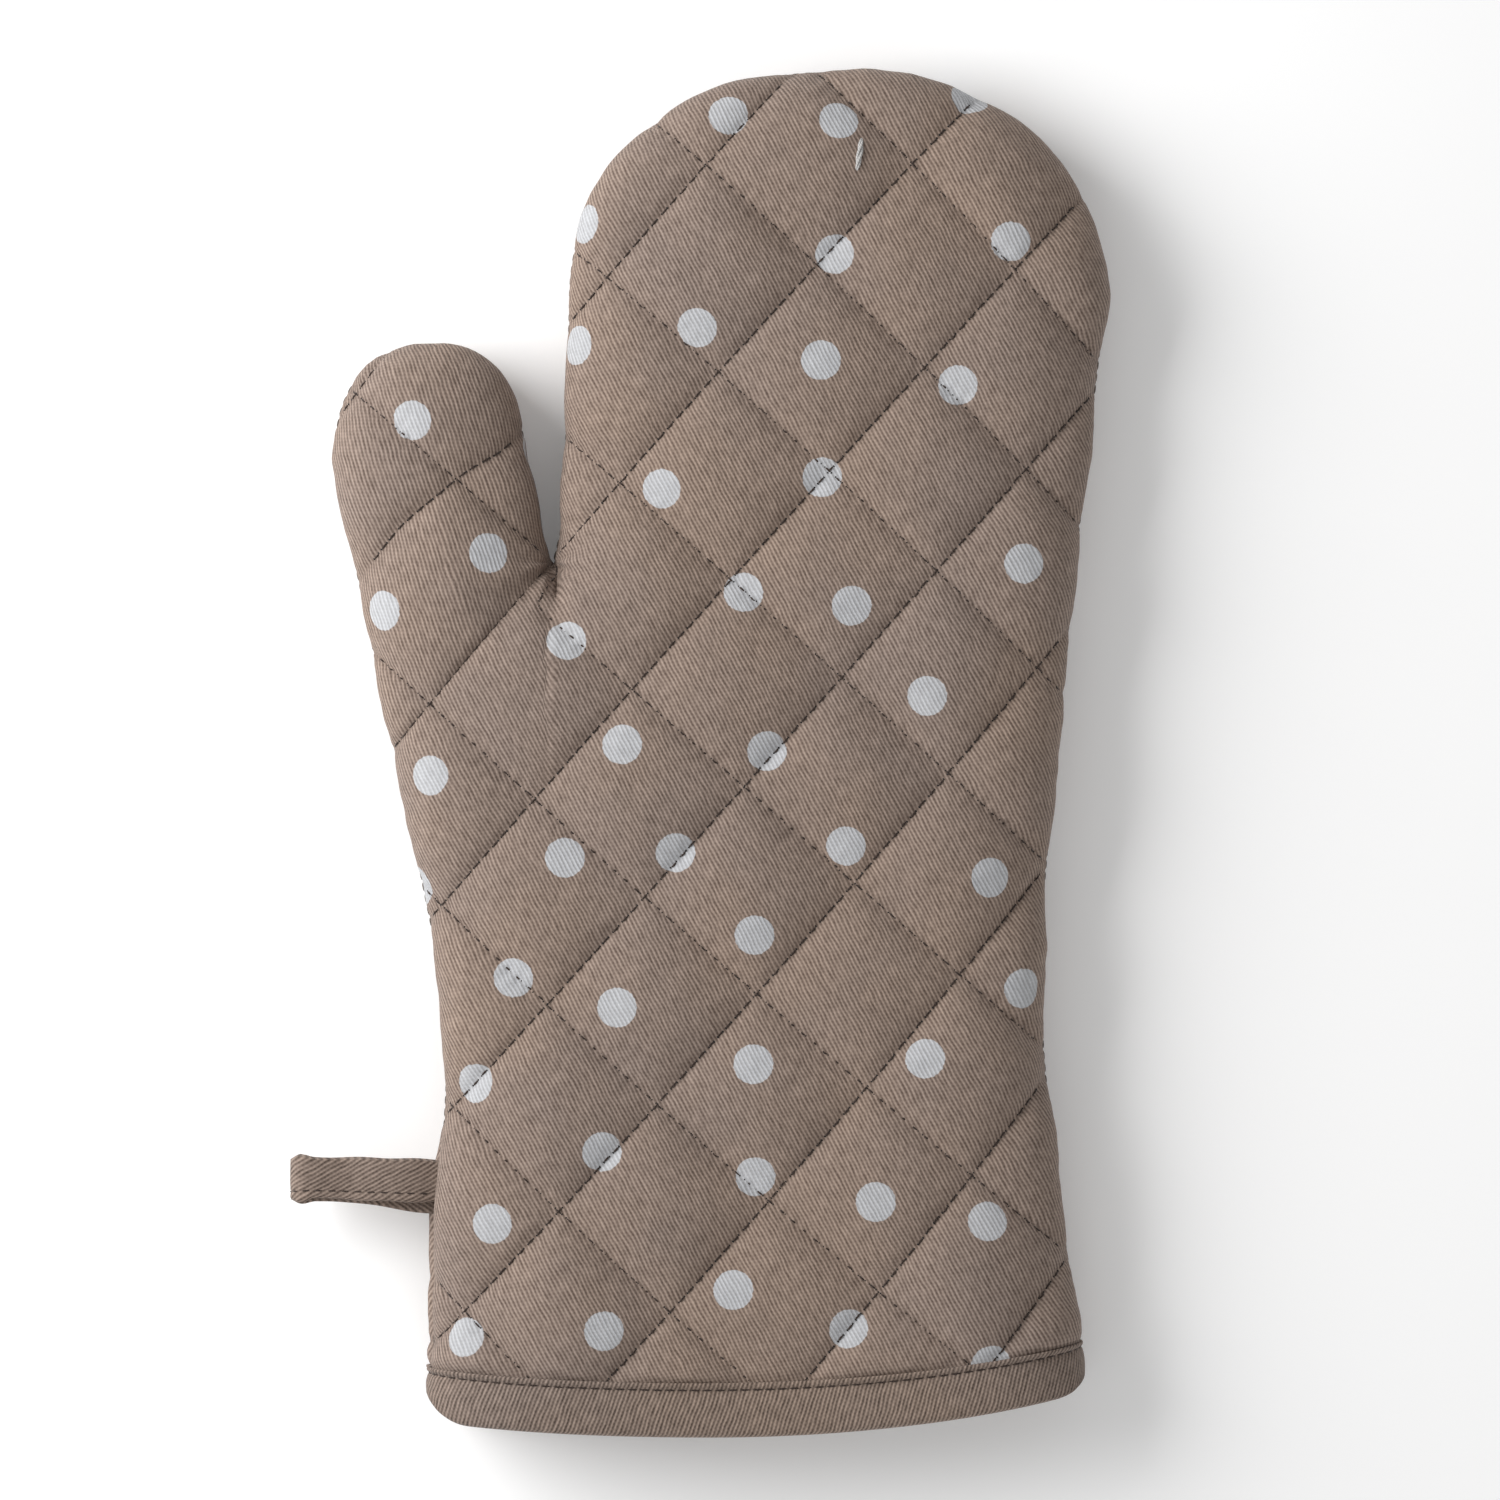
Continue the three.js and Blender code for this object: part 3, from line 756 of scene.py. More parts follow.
class Nodes:
    """Short ways to add shader nodes to one material."""

    def __init__(self, name):
        self.material = bpy.data.materials.new(name)
        self.material.use_nodes = True
        self.tree = self.material.node_tree
        self.shader = self.tree.nodes["Principled BSDF"]

    def new(self, kind, **settings):
        node = self.tree.nodes.new(kind)
        for key, value in settings.items():
            setattr(node, key, value)
        return node

    def put(self, value, socket):
        if isinstance(value, (int, float, tuple)):
            socket.default_value = value
        else:
            self.tree.links.new(value, socket)

    def math(self, operation, *values, clamp=False):
        node = self.new("ShaderNodeMath", operation=operation, use_clamp=clamp)
        for value, socket in zip(values, node.inputs):
            self.put(value, socket)
        return node.outputs[0]

    def mix(self, share, first, second, blend="MIX"):
        node = self.new("ShaderNodeMix", data_type="RGBA", blend_type=blend)
        self.put(share, node.inputs[0])
        self.put(first, node.inputs[6])
        self.put(second, node.inputs[7])
        return node.outputs[2]

    def attribute(self, name):
        node = self.new("ShaderNodeAttribute", attribute_name=name)
        return node.outputs["Fac"]

    def parts(self, name):
        split = self.new("ShaderNodeSeparateXYZ")
        whole = self.new("ShaderNodeAttribute", attribute_name=name)
        self.put(whole.outputs["Vector"], split.inputs[0])
        return split.outputs

    def vector(self, x, y, z=0.0):
        node = self.new("ShaderNodeCombineXYZ")
        for value, socket in zip((x, y, z), node.inputs):
            self.put(value, socket)
        return node.outputs[0]

    def place(self):
        return self.new("ShaderNodeTexCoord").outputs["Object"]

    def noise(self, vector, scale, detail=2.0, rough=0.5):
        node = self.new("ShaderNodeTexNoise")
        self.put(vector, node.inputs["Vector"])
        node.inputs["Scale"].default_value = scale
        node.inputs["Detail"].default_value = detail
        node.inputs["Roughness"].default_value = rough
        return node.outputs["Fac"]

    def range(self, value, low, high, new_low=0.0, new_high=1.0, smooth=False):
        node = self.new("ShaderNodeMapRange", interpolation_type="SMOOTHSTEP" if smooth else "LINEAR")
        sockets = ("Value", "From Min", "From Max", "To Min", "To Max")
        for socket, number in zip(sockets, (value, low, high, new_low, new_high)):
            self.put(number, node.inputs[socket])
        return node.outputs["Result"]

    def scaled(self, value, factor, add=0.0):
        return self.math("MULTIPLY_ADD", value, factor, add)

    def wave(self, turns):
        """A wave from 0 to 1, once for each turn."""
        return self.scaled(self.math("SINE", self.scaled(turns, 2 * math.pi)), 0.5, 0.5)

    def finish(self, colour, relief, depth, roughness, sheen):
        self.put(colour, self.shader.inputs["Base Color"])
        bump = self.new("ShaderNodeBump")
        bump.inputs["Strength"].default_value = 0.7
        bump.inputs["Distance"].default_value = depth
        self.put(relief, bump.inputs["Height"])
        self.put(bump.outputs[0], self.shader.inputs["Normal"])
        self.put(roughness, self.shader.inputs["Roughness"])
        self.shader.inputs["Sheen Weight"].default_value = sheen
        self.shader.inputs["Sheen Roughness"].default_value = 0.5
        self.shader.inputs["Specular IOR Level"].default_value = 0.25
        return self.material


def grey(value):
    return (value, value, value, 1)


def twill(nodes, across_angle, pitch):
    """A twill's ridges over the cloth attribute: ridge height, and how slubby the yarn is."""
    x, y, _ = nodes.parts("cloth")
    c, s = math.cos(math.radians(across_angle)), math.sin(math.radians(across_angle))
    across = nodes.math("ADD", nodes.scaled(x, c), nodes.scaled(y, s))
    along = nodes.math("ADD", nodes.scaled(x, -s), nodes.scaled(y, c))
    wander = nodes.noise(nodes.vector(nodes.scaled(across, 0.15), nodes.scaled(along, 0.15)), 1.0)
    count = nodes.scaled(nodes.math("ADD", across, nodes.scaled(wander, 0.9)), 1 / pitch)
    ridge = nodes.wave(count)
    step = nodes.scaled(nodes.math("FLOOR", count), 0.38)
    yarn = nodes.wave(nodes.math("ADD", nodes.scaled(along, 1 / 0.9), step))
    slub = nodes.noise(nodes.vector(nodes.scaled(across, 1.3), nodes.scaled(along, 0.35)), 1.0, 2.0, 0.6)
    height = nodes.math("ADD", nodes.scaled(ridge, 0.8), nodes.scaled(yarn, 0.2))
    return height, slub


def crease_shade_mask(nodes):
    """How near a point is to the bottom of a quilting row: the mask for the shade painted along the rows.
    """
    s, t, _ = nodes.parts("rows")
    near = []
    for value in (s, t):
        off = nodes.math("ABSOLUTE", nodes.math("SUBTRACT", value, nodes.math("ROUND", value)))
        near.append(nodes.range(off, 0.0, 1.3 / CELL, 1.0, 0.0, True))
    return nodes.math("MAXIMUM", near[0], near[1])


def twill_cloth(name, dark, light, twill_angle, pitch=0.92, printed=False):
    nodes = Nodes(name)
    height, slub = twill(nodes, twill_angle, pitch)
    tone = nodes.math("ADD", nodes.scaled(height, 0.78), nodes.range(slub, 0.3, 0.7, -0.1, 0.3))
    tone = nodes.math("ADD", tone, 0.0, clamp=True)
    colour = nodes.mix(tone, dark, light)
    place = nodes.place()
    patch = nodes.range(nodes.noise(place, 24.0, 3.0), 0.35, 0.65)
    tint = nodes.mix(patch, (0.95, 0.95, 0.97, 1), (1.05, 1.02, 0.99, 1))
    colour = nodes.mix(1.0, colour, tint, "MULTIPLY")
    if printed:
        edge = nodes.noise(place, 1400.0, 1.0)
        reach = nodes.math("ADD", nodes.attribute("print"), nodes.scaled(edge, 0.5, -0.25))
        ink = nodes.range(reach, DOT_RADIUS - 0.12, DOT_RADIUS + 0.12, 0.97, 0.0, True)
        ink_colour = nodes.mix(tone, (0.34, 0.34, 0.35, 1), (0.56, 0.57, 0.59, 1))
        colour = nodes.mix(ink, colour, ink_colour)
        # painted shade: the printed cover is darkened a little along the bottoms of the quilting rows
        colour = nodes.mix(nodes.scaled(crease_shade_mask(nodes), 0.07), colour, (0.05, 0.033, 0.025, 1))
    relief = nodes.math("ADD", height, nodes.scaled(slub, 0.5))
    return nodes.finish(colour, relief, 0.0002, nodes.range(slub, 0.2, 0.8, 0.84, 0.95), 0.1)


def plain_weave(name, dark, light, pitch):
    """A plain weave: warp and weft ridges in turn."""
    nodes = Nodes(name)
    x, y, _ = nodes.parts("cloth")
    warp, weft = nodes.wave(nodes.scaled(x, 1 / pitch)), nodes.wave(nodes.scaled(y, 1 / pitch))
    over = nodes.wave(nodes.math("ADD", nodes.scaled(x, 0.5 / pitch), nodes.scaled(y, 0.5 / pitch)))
    warp_seen = nodes.math("MULTIPLY", warp, over)
    weft_seen = nodes.math("MULTIPLY", weft, nodes.scaled(over, -1.0, 1.0))
    height = nodes.math("MAXIMUM", warp_seen, weft_seen)
    slub = nodes.noise(nodes.vector(nodes.scaled(x, 1.4), nodes.scaled(y, 0.3)), 1.0, 2.0)
    tone = nodes.scaled(height, 0.6)
    tone = nodes.math("ADD", tone, nodes.range(slub, 0.3, 0.7, 0.0, 0.4), clamp=True)
    patch = nodes.range(nodes.noise(nodes.place(), 30.0, 3.0), 0.3, 0.7)
    colour = nodes.mix(tone, dark, light)
    colour = nodes.mix(1.0, colour, nodes.mix(patch, grey(0.93), grey(1.04)), "MULTIPLY")
    return nodes.finish(colour, nodes.math("ADD", height, nodes.scaled(slub, 0.4)), 0.00016, 0.9, 0.12)


def fleece(name, dark, light):
    nodes = Nodes(name)
    fibre = nodes.noise(nodes.place(), 700.0, 4.0, 0.7)
    colour = nodes.mix(fibre, dark, light)
    return nodes.finish(colour, fibre, 0.0006, 0.97, 0.25)


def thread_material(name, dark, light):
    nodes = Nodes(name)
    run, turn, hole = nodes.parts("strand")
    twist = nodes.wave(nodes.math("ADD", nodes.scaled(run, 1.6), nodes.scaled(turn, 1 / math.pi)))
    fuzz = nodes.noise(nodes.place(), 1500.0, 2.0)
    tone = nodes.math("ADD", nodes.scaled(twist, 0.6), nodes.scaled(fuzz, 0.4))
    # painted shade: threads flagged as needle holes are painted near-black
    colour = nodes.mix(hole, nodes.mix(tone, dark, light), (0.008, 0.005, 0.004, 1))
    return nodes.finish(colour, twist, 0.00008, 0.62, 0.2)


PRINTED_DARK, PRINTED_LIGHT = (0.10, 0.069, 0.053, 1), (0.385, 0.301, 0.251, 1)
TAPE_DARK, STRIP_DARK = (0.06, 0.042, 0.032, 1), (0.07, 0.049, 0.038, 1)
TAPE_LIGHT, TAPE_PITCH = (0.35, 0.272, 0.225, 1), 0.95
PRINTED = twill_cloth("printed_twill", PRINTED_DARK, PRINTED_LIGHT, 28, printed=True)
PLAIN_TAPE = twill_cloth("plain_twill_tape", TAPE_DARK, TAPE_LIGHT, -17, TAPE_PITCH)
LOOP_TAPE = twill_cloth("plain_twill_strip", STRIP_DARK, TAPE_LIGHT, 60, TAPE_PITCH)
LINING = plain_weave("lining_cotton", (0.34, 0.29, 0.22, 1), (0.62, 0.55, 0.45, 1), 0.55)
WADDING = fleece("wadding_fleece", (0.55, 0.52, 0.46, 1), (0.85, 0.83, 0.78, 1))
DARK_THREAD = thread_material("brown_thread", (0.016, 0.009, 0.006, 1), (0.055, 0.033, 0.024, 1))
SEAM_THREAD = thread_material("taupe_thread", (0.05, 0.036, 0.028, 1), (0.14, 0.11, 0.09, 1))
PALE_THREAD = thread_material("pale_thread", (0.30, 0.29, 0.28, 1), (0.62, 0.61, 0.60, 1))


# ------------------------------------------------------------------ how pieces move


def bend_at_fingers(obj):
    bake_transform(obj)


def bend_at_thumb(obj):
    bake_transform(obj)


def bend_at_seam(obj):
    """The loop's tape reaches into the seam at its root; this bakes its placement into its mesh."""
    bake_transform(obj)


def ride_palm(obj):
    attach(obj, "palm")


def ride_fingers(obj):
    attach(obj, "fingers")


BENDS = {"hand": bend_at_fingers, "thumb": bend_at_thumb}


def dress(obj, material, slot, moves, *nodes):
    """Gives a piece its material and the way it moves, and hides the CAD nodes it replaces. The slot is not
    used.
    """
    obj.data.materials.append(material)
    moves(obj)
    if nodes:
        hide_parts(*nodes)


# ------------------------------------------------------------------ covers, wadding and linings


def turned_cloth(cloth, degrees):
    """Cloth coordinates turned about the crotch."""
    c, s = math.cos(math.radians(degrees)), math.sin(math.radians(degrees))
    x, y = (cloth - CROTCH).T
    return np.stack([x * c - y * s, x * s + y * c], 1)


def below(grid, shape, start, depth):
    """The points of a surface moved inward by a depth, which may differ from point to point."""
    inward = -shape["normals"]
    inward[:, 1] *= smoothstep(grid.from_cuff, *SQUARE_TO_MOUTH)  # or the layers come out of the mouth
    moved = shape[start] + unit(inward) * np.broadcast_to(depth, len(inward))[:, None]
    if grid is inner_grid:
        moved[:, 1] += MOUTH_TUCK * (1 - smoothstep(grid.from_cuff, 0, MOUTH_TUCK_HEIGHT))
    return moved


def add_layer(side, layer, grid, shape, faces_of_layer, material, slot):
    """One layer of one side as two pieces, which meet at the thumb's row."""
    outer, inner = faces_of_layer
    for part, chosen in (("hand", ~grid.is_thumb), ("thumb", grid.is_thumb)):
        quads = grid.quads[chosen]
        cloth = turned_cloth(grid.cloth, 9 if part == "thumb" else 0)
        attributes = {"cloth": np.concatenate([cloth, shape["pillow"][:, None]], 1)}
        if layer == "cover":
            attributes["print"] = shape["print"]
            attributes["rows"] = np.stack([shape["s"], shape["t"], shape["pillow"]], 1)
        faces = quads if side == FRONT else quads[:, ::-1]
        obj = closed_layer(f"{side}_{layer}_{part}_cloth", faces, outer, inner, attributes)
        bodies = ("palm", "fingers") if part == "hand" else ("thumb",)
        nodes = [f"{side}_{layer}_{body}" for body in bodies]
        dress(obj, material, slot, BENDS[part], *nodes)


def inner_depths(inner):
    """Depths below the rows of the wadding's outer face, and of the lining's outer face."""
    away = smoothstep(inner_grid.arc, 2, 12)
    tuck = SEAM_TUCK * (1 - away)
    wadding = WADDING_DEPTH + tuck - WADDING_PUFF * inner["pillow"] * away
    lining = ROW_THICK - LINING_THICK + tuck + PUFF_IN * inner["pillow"]
    return wadding, lining


def add_layers(side):
    cover, inner = covers[side], inners[side]
    cover["print"] = distance_to_dots(side, cover["points"])
    cover_faces = cover["points"], below(cover_grid, cover, "points", COVER_THICK)
    add_layer(side, "cover", cover_grid, cover, cover_faces, PRINTED, "printed_cover")
    wadding, lining = inner_depths(inner)
    wadding_faces = [below(inner_grid, inner, "base", depth) for depth in (wadding, lining - LAYER_GAP)]
    add_layer(side, "wadding", inner_grid, inner, wadding_faces, WADDING, "wadding")
    lining_faces = [below(inner_grid, inner, "base", depth) for depth in (lining, lining + LINING_THICK)]
    add_layer(side, "lining", inner_grid, inner, lining_faces, LINING, "lining")


for side in (FRONT, BACK):
    add_layers(side)


# ------------------------------------------------------------------ stitches


def place_on_lattice(s, t, on_thumb):
    """Where on the plan the quilting coordinates have these values."""
    offset = (np.stack([s, t], 1) - ROWS_AT_CROTCH) * CELL
    plan = CROTCH + np.linalg.solve(ROW_ACROSS, offset.T).T
    flags = np.full(len(s), on_thumb)
    for _ in range(14):
        here, slopes = lattice_slopes(plan, flags)
        miss = np.stack([s, t], 1) - here
        step = np.linalg.solve(slopes, miss[:, :, None])[:, :, 0]
        plan = plan + np.clip(step, -LONGEST_STEP, LONGEST_STEP)
    return plan


STITCH_POINTS = 5
ROW_SAMPLE = 0.015  # in squares
RAY_START = 60.0  # above or below the seam
SHORTEST_ROW = 30  # samples: a shorter row would only graze the seam


def trace_rows():
    """Every quilting row as plan lines, each without a break."""
    tree = plan_tree(cover_grid.plan)
    along = np.arange(FIRST_ROW, LAST_ROW + 1, ROW_SAMPLE)
    lines = []
    for across_is_s in (True, False):
        for row in range(FIRST_ROW, LAST_ROW + 1):
            across = np.full(len(along), float(row))
            s, t = (across, along) if across_is_s else (along, across)
            for on_thumb in (False, True):
                plan = place_on_lattice(s, t, on_thumb)
                good = np.array([is_on_cloth(tree, point, on_thumb) for point in plan])
                lines.extend(unbroken(plan, good))
    return lines


def unbroken(plan, good):
    """The runs of a line's points that are all good."""
    edges = np.flatnonzero(np.diff(np.concatenate([[False], good, [False]]).astype(int)))
    return [plan[a:b] for a, b in zip(edges[::2], edges[1::2]) if b - a > SHORTEST_ROW]


def is_on_cloth(tree, point, on_thumb):
    x, y = point
    if not CUFF_END_Y < y < FINGERTIP_Y or (on_thumb and y < CROTCH[1]):
        return False
    index, gap = tree.find((x, y, 0))[1:]
    if gap > 1.5 * COVER_STEP or cover_grid.distance[index] < ROW_TO_SEAM:
        return False
    if cover_grid.from_cuff[index] < BINDING_WIDTH - ROW_UNDER_TAPE:
        return False
    return y < CROTCH[1] + 0.5 or bool(cover_grid.on_thumb[index]) == on_thumb


def drop_onto(surface, plan, from_z, direction):
    """A plan line put on a surface by rays up or down: points, normals and faces."""
    hits = [surface.ray_cast(Vector((x, y, from_z)), Vector((0, 0, direction))) for x, y in plan]
    hits = [hit for hit in hits if hit[0] is not None]
    places = np.array([hit[0] for hit in hits]).reshape(-1, 3)
    normals = np.array([hit[1] for hit in hits]).reshape(-1, 3)
    return places, normals, np.array([hit[2] for hit in hits], int)


def even_stitches(places, normals, faces, draw):
    """Stitches at an even spacing along a line on the cloth: paths, ups and the faces below."""
    run = run_along(places)
    pitch = CELL / STITCHES_PER_CELL
    starts = np.arange(FIRST_STITCH, run[-1] - STITCH_SHOWN * pitch, pitch)
    starts = starts + draw.normal(0, STITCH_UNEVEN, len(starts))
    share = np.linspace(0, STITCH_SHOWN * pitch, STITCH_POINTS)
    at = np.clip(starts[:, None] + share, 0, run[-1])
    middle = at[:, STITCH_POINTS // 2]
    up = unit(values_at(middle, run, normals))
    face_below = faces[np.clip(np.searchsorted(run, middle), 0, len(faces) - 1)]
    return values_at(at, run, places), up, face_below


def add_quilting(side, face_name, grid, points, from_z, direction):
    """The rows of stitches seen on one face of one side of the mitt."""
    surface = BVHTree.FromPolygons(points.tolist(), grid.quads.tolist())
    draw = np.random.default_rng(7)
    found = []
    for line in row_lines:
        landed = drop_onto(surface, line, from_z, direction)
        if len(landed[0]) > 8:
            found.append(even_stitches(*landed, draw))
    path, up, below = (np.concatenate([f[k] for f in found]) for k in range(3))
    up = up * -np.sign(up[:, 2:] * direction)
    dive = np.linspace(-1, 1, STITCH_POINTS) ** 2
    sway = np.cross(up, unit(path[:, -1] - path[:, 0])) * draw.normal(0, 0.07, (len(path), 1))
    raised = path + up[:, None] * (THREAD * 0.5 - STITCH_DIVE * dive)[:, None] + sway[:, None]
    for part in ("hand", "thumb"):
        mine = grid.is_thumb[below] == (part == "thumb")
        paths, ups = raised[mine], up[mine]
        radius, shaded_hole_flags = np.full(len(paths), THREAD), np.zeros(len(paths))
        if face_name == "outside":
            # painted shade: near-black blobs at the stitch ends stand for the shadow in the needle holes
            pits = needle_hole_shading(path[mine], ups)
            paths, ups = np.concatenate([paths, pits]), np.concatenate([ups, ups, ups])
            radius = np.concatenate([radius, np.full(len(pits), NEEDLE_HOLE)])
            shaded_hole_flags = np.concatenate([shaded_hole_flags, np.ones(len(pits))])
        obj = threads(f"{side}_quilting_{face_name}_{part}", paths, ups, radius, shaded_hole_flags)
        dress(obj, DARK_THREAD, "dark_thread", BENDS[part])


def needle_hole_shading(path, up):
    """Painted shade in the needle holes: near-black blobs where the thread goes into the cloth, at both
    ends of each stitch.
    """
    along = unit(path[:, -1] - path[:, 0])
    share = np.linspace(-0.2, 0.2, STITCH_POINTS)[:, None]
    ends = [end[:, None] + along[:, None] * share - up[:, None] * 0.14 for end in (path[:, 0], path[:, -1])]
    return np.concatenate(ends)


row_lines = trace_rows()
for side, sky in ((FRONT, 1), (BACK, -1)):
    add_quilting(side, "outside", cover_grid, covers[side]["points"], SEAM_Z + sky * RAY_START, -sky)
    inner = inners[side]
    lining_face = below(inner_grid, inner, "base", inner_depths(inner)[1] + LINING_THICK)
    add_quilting(side, "inside", inner_grid, lining_face, SEAM_Z, sky)


def stitches_along(line, outward, start, pitch, shown, lift):
    """Stitches along a line that are lifted outward: a path and an up direction for each."""
    line = np.concatenate([line, outward], 1)  # so where the cloth turns they are a little closer
    run = run_along(line)
    starts = np.arange(start, run[-1] - pitch, pitch)
    at = starts[:, None] + np.linspace(0, 1, STITCH_POINTS) * pitch * shown
    found = values_at(at, run, line)
    path, out = found[:, :, :3], found[:, :, 3:]
    return path + out * lift, unit(out[:, STITCH_POINTS // 2])


SEAM_EDGES = {"hand": ("outer_edge", "crotch", "inner_edge", "fingers"), "thumb": ("thumb",)}


def add_side_seam():
    """The stitches in the valley where the two sides of the mitt are joined."""
    ring = cover_grid.outline[cover_grid.from_cuff[cover_grid.outline] > BINDING_WIDTH - 2]
    line = covers[FRONT]["points"][ring]
    outward = unit(covers[FRONT]["normals"][ring] + covers[BACK]["normals"][ring])
    thumb_y = cover_grid.plan[np.intersect1d(cover_grid.cut, cover_grid.outline)][:, 1].min()
    crotch = int(np.argmin(np.abs(ring - cover_grid.crotch)))
    left_cut = int(np.argmin(np.abs(line[:crotch, 1] - thumb_y)))
    spans = {"hand": [(0, left_cut), (crotch, len(ring))], "thumb": [(left_cut, crotch)]}
    for part, pieces in spans.items():
        paths, ups = [], []
        for first, last in pieces:
            found = stitches_along(line[first:last], outward[first:last], *SEAM_STITCHES)
            paths.extend(found[0])
            ups.extend(found[1])
        obj = threads(f"side_seam_stitches_{part}", paths, ups, THREAD)
        nodes = [f"side_seam_{edge}" for edge in SEAM_EDGES[part]]
        dress(obj, SEAM_THREAD, "dark_thread", BENDS[part], *nodes)


add_side_seam()


# ------------------------------------------------------------------ the cuff's binding


def cuff_ring(values, up):
    """Values at a height above the cover's end, all round the mouth."""
    width = cover_grid.width
    rows = np.arange(len(cover_grid.palm_y))
    at = np.interp(up, cover_grid.palm_y - cover_grid.cuff_y, rows)
    low = min(int(at), len(rows) - 2)
    share = at - low
    rings = []
    for side in (FRONT, BACK):
        grid_rows = values[side].reshape(-1, values[side].shape[-1])
        first = grid_rows[low * width : (low + 1) * width]
        second = grid_rows[(low + 1) * width : (low + 2) * width]
        rings.append(first + (second - first) * share)
    return np.concatenate([rings[0], rings[1][-2:0:-1]])


def smooth_around(values, times):
    for _ in range(times):
        values = (np.roll(values, 1, axis=0) + 2 * values + np.roll(values, -1, axis=0)) / 4
    return values


def binding_profile():
    """The folded tape's outline: (height up the cloth, distance out from the cover)."""
    top, bulk, inside = BINDING_WIDTH, BINDING_BULK, -(ROW_THICK + TAPE_IN)
    outer = [
        (top - 0.5, 0.05), (top - 0.1, 0.35), (top, 0.7), (top - 0.2, 1.05), (top - 0.6, 1.25),
        (top - 1.0, 1.2), (top - 1.35, 0.95), (top - GROOVE_BELOW_TOP, 0.62), (top - 2.1, 0.8),
        (top - 2.8, 1.1), (top - 4.2, bulk), (top - 6.5, bulk + 0.1), (top - 8.8, bulk + 0.05),
        (1.8, bulk), (0.8, bulk - 0.1),
    ]
    turn = np.linspace(0, math.pi, 9)[1:-1]
    middle, half = (bulk + inside) / 2, (bulk - inside) / 2
    end = [(0.3 - (BINDING_ROUND + 0.3) * math.sin(a), middle + half * math.cos(a)) for a in turn]
    inner = [
        (0.9, inside), (4.0, inside - 0.1), (top - 3.5, inside), (top - 2.0, inside + 0.3),
        (top - 1.2, inside - 0.1), (top - 0.4, inside), (top - 0.2, inside + 0.4),
        (top - 0.6, inside + 0.75),
    ]
    back = [
        (3.0, inside + 0.9), (0.4, inside + 0.9), (0.1, middle), (0.4, -0.1), (3.0, -0.05),
        (top - 3, 0.0),
    ]
    return np.array(outer + end + inner + back)


def add_binding():
    profile = binding_profile()
    points, normals = ({side: covers[side][key] for side in covers} for key in ("points", "normals"))
    sections, cloth = [], []
    start = smooth_around(cuff_ring(points, 0.0), 6)
    around = run_along(start)
    down = unit(cuff_ring(points, 0.0) - cuff_ring(points, 4.0))
    run = run_along(profile)
    still = np.zeros_like(around)
    ripple = 0.10 * waves(around, still, 26, 31) + 0.06 * waves(around, still, 9, 32)
    for index, (up, out) in enumerate(profile):
        place = smooth_around(cuff_ring(points, max(up, 0.0)), 5)
        normal = smooth_around(cuff_ring(normals, max(up, 0.0)), 8)
        normal[:, 1] *= smoothstep(up, *SQUARE_TO_MOUTH)  # or the tape's corners come out notched
        normal = unit(normal)
        place = place + down * max(0.0, -up) + normal * (out + ripple * (0.3 < out))[:, None]
        sections.append(place)
        cloth.append(np.stack([around, np.full_like(around, -run[index]), still], 1))
    rings = np.stack(sections, 1)
    rings[:, :, 2] = np.maximum(rings[:, :, 2], TAPE_LOWEST)
    attributes = {"cloth": np.stack(cloth, 1).reshape(-1, 3)}
    obj = lofted_ring("cuff_binding_tape", rings, attributes, True)
    dress(obj, PLAIN_TAPE, "plain_tape", ride_palm, "cuff_binding")
    return rings, normals


def add_binding_stitches(rings, normals):
    line = rings[:, GROOVE_POINT]
    outward = unit(smooth_around(cuff_ring(normals, BINDING_WIDTH - GROOVE_BELOW_TOP), 8))
    line, outward = (np.concatenate([values, values[:1]]) for values in (line, outward))
    obj = threads("binding_stitches", *stitches_along(line, outward, *BINDING_STITCHES), THREAD)
    dress(obj, DARK_THREAD, "dark_thread", ride_palm, "binding_stitch")


add_binding_stitches(*add_binding())


# ------------------------------------------------------------------ the hanging loop

LOOP_LOW, LOOP_HIGH = node_box("hanging_loop")
LOOP_SEWN_IN = 3.4  # how far it reaches past its CAD node, into the seam
LOOP_ROOT_X = LOOP_HIGH[0] + LOOP_SEWN_IN
LOOP_HALF_WIDTH = 5.0
LOOP_SHIFT, LOOP_SLANT = 1.1, 0.9  # along the seam: at its root, and from there to its end
LOOP_MIDDLE_Y = (LOOP_LOW[1] + LOOP_HIGH[1]) / 2 + LOOP_SHIFT
LOWER_LEG_ASIDE = 2.9  # of the upper leg, at the root
LOOP_THICK = 1.5
LOOP_EYE_REACH = 5.5  # from the loop's far end, where the strip is wider
LOOP_GROOVE = (-LOOP_HALF_WIDTH + 2.0, LOOP_THICK / 2 * 0.72)  # across the strip, and out of it
LOOP_THREAD = THREAD * 0.85
LEG_STEPS, EYE_STEPS = 36, 13


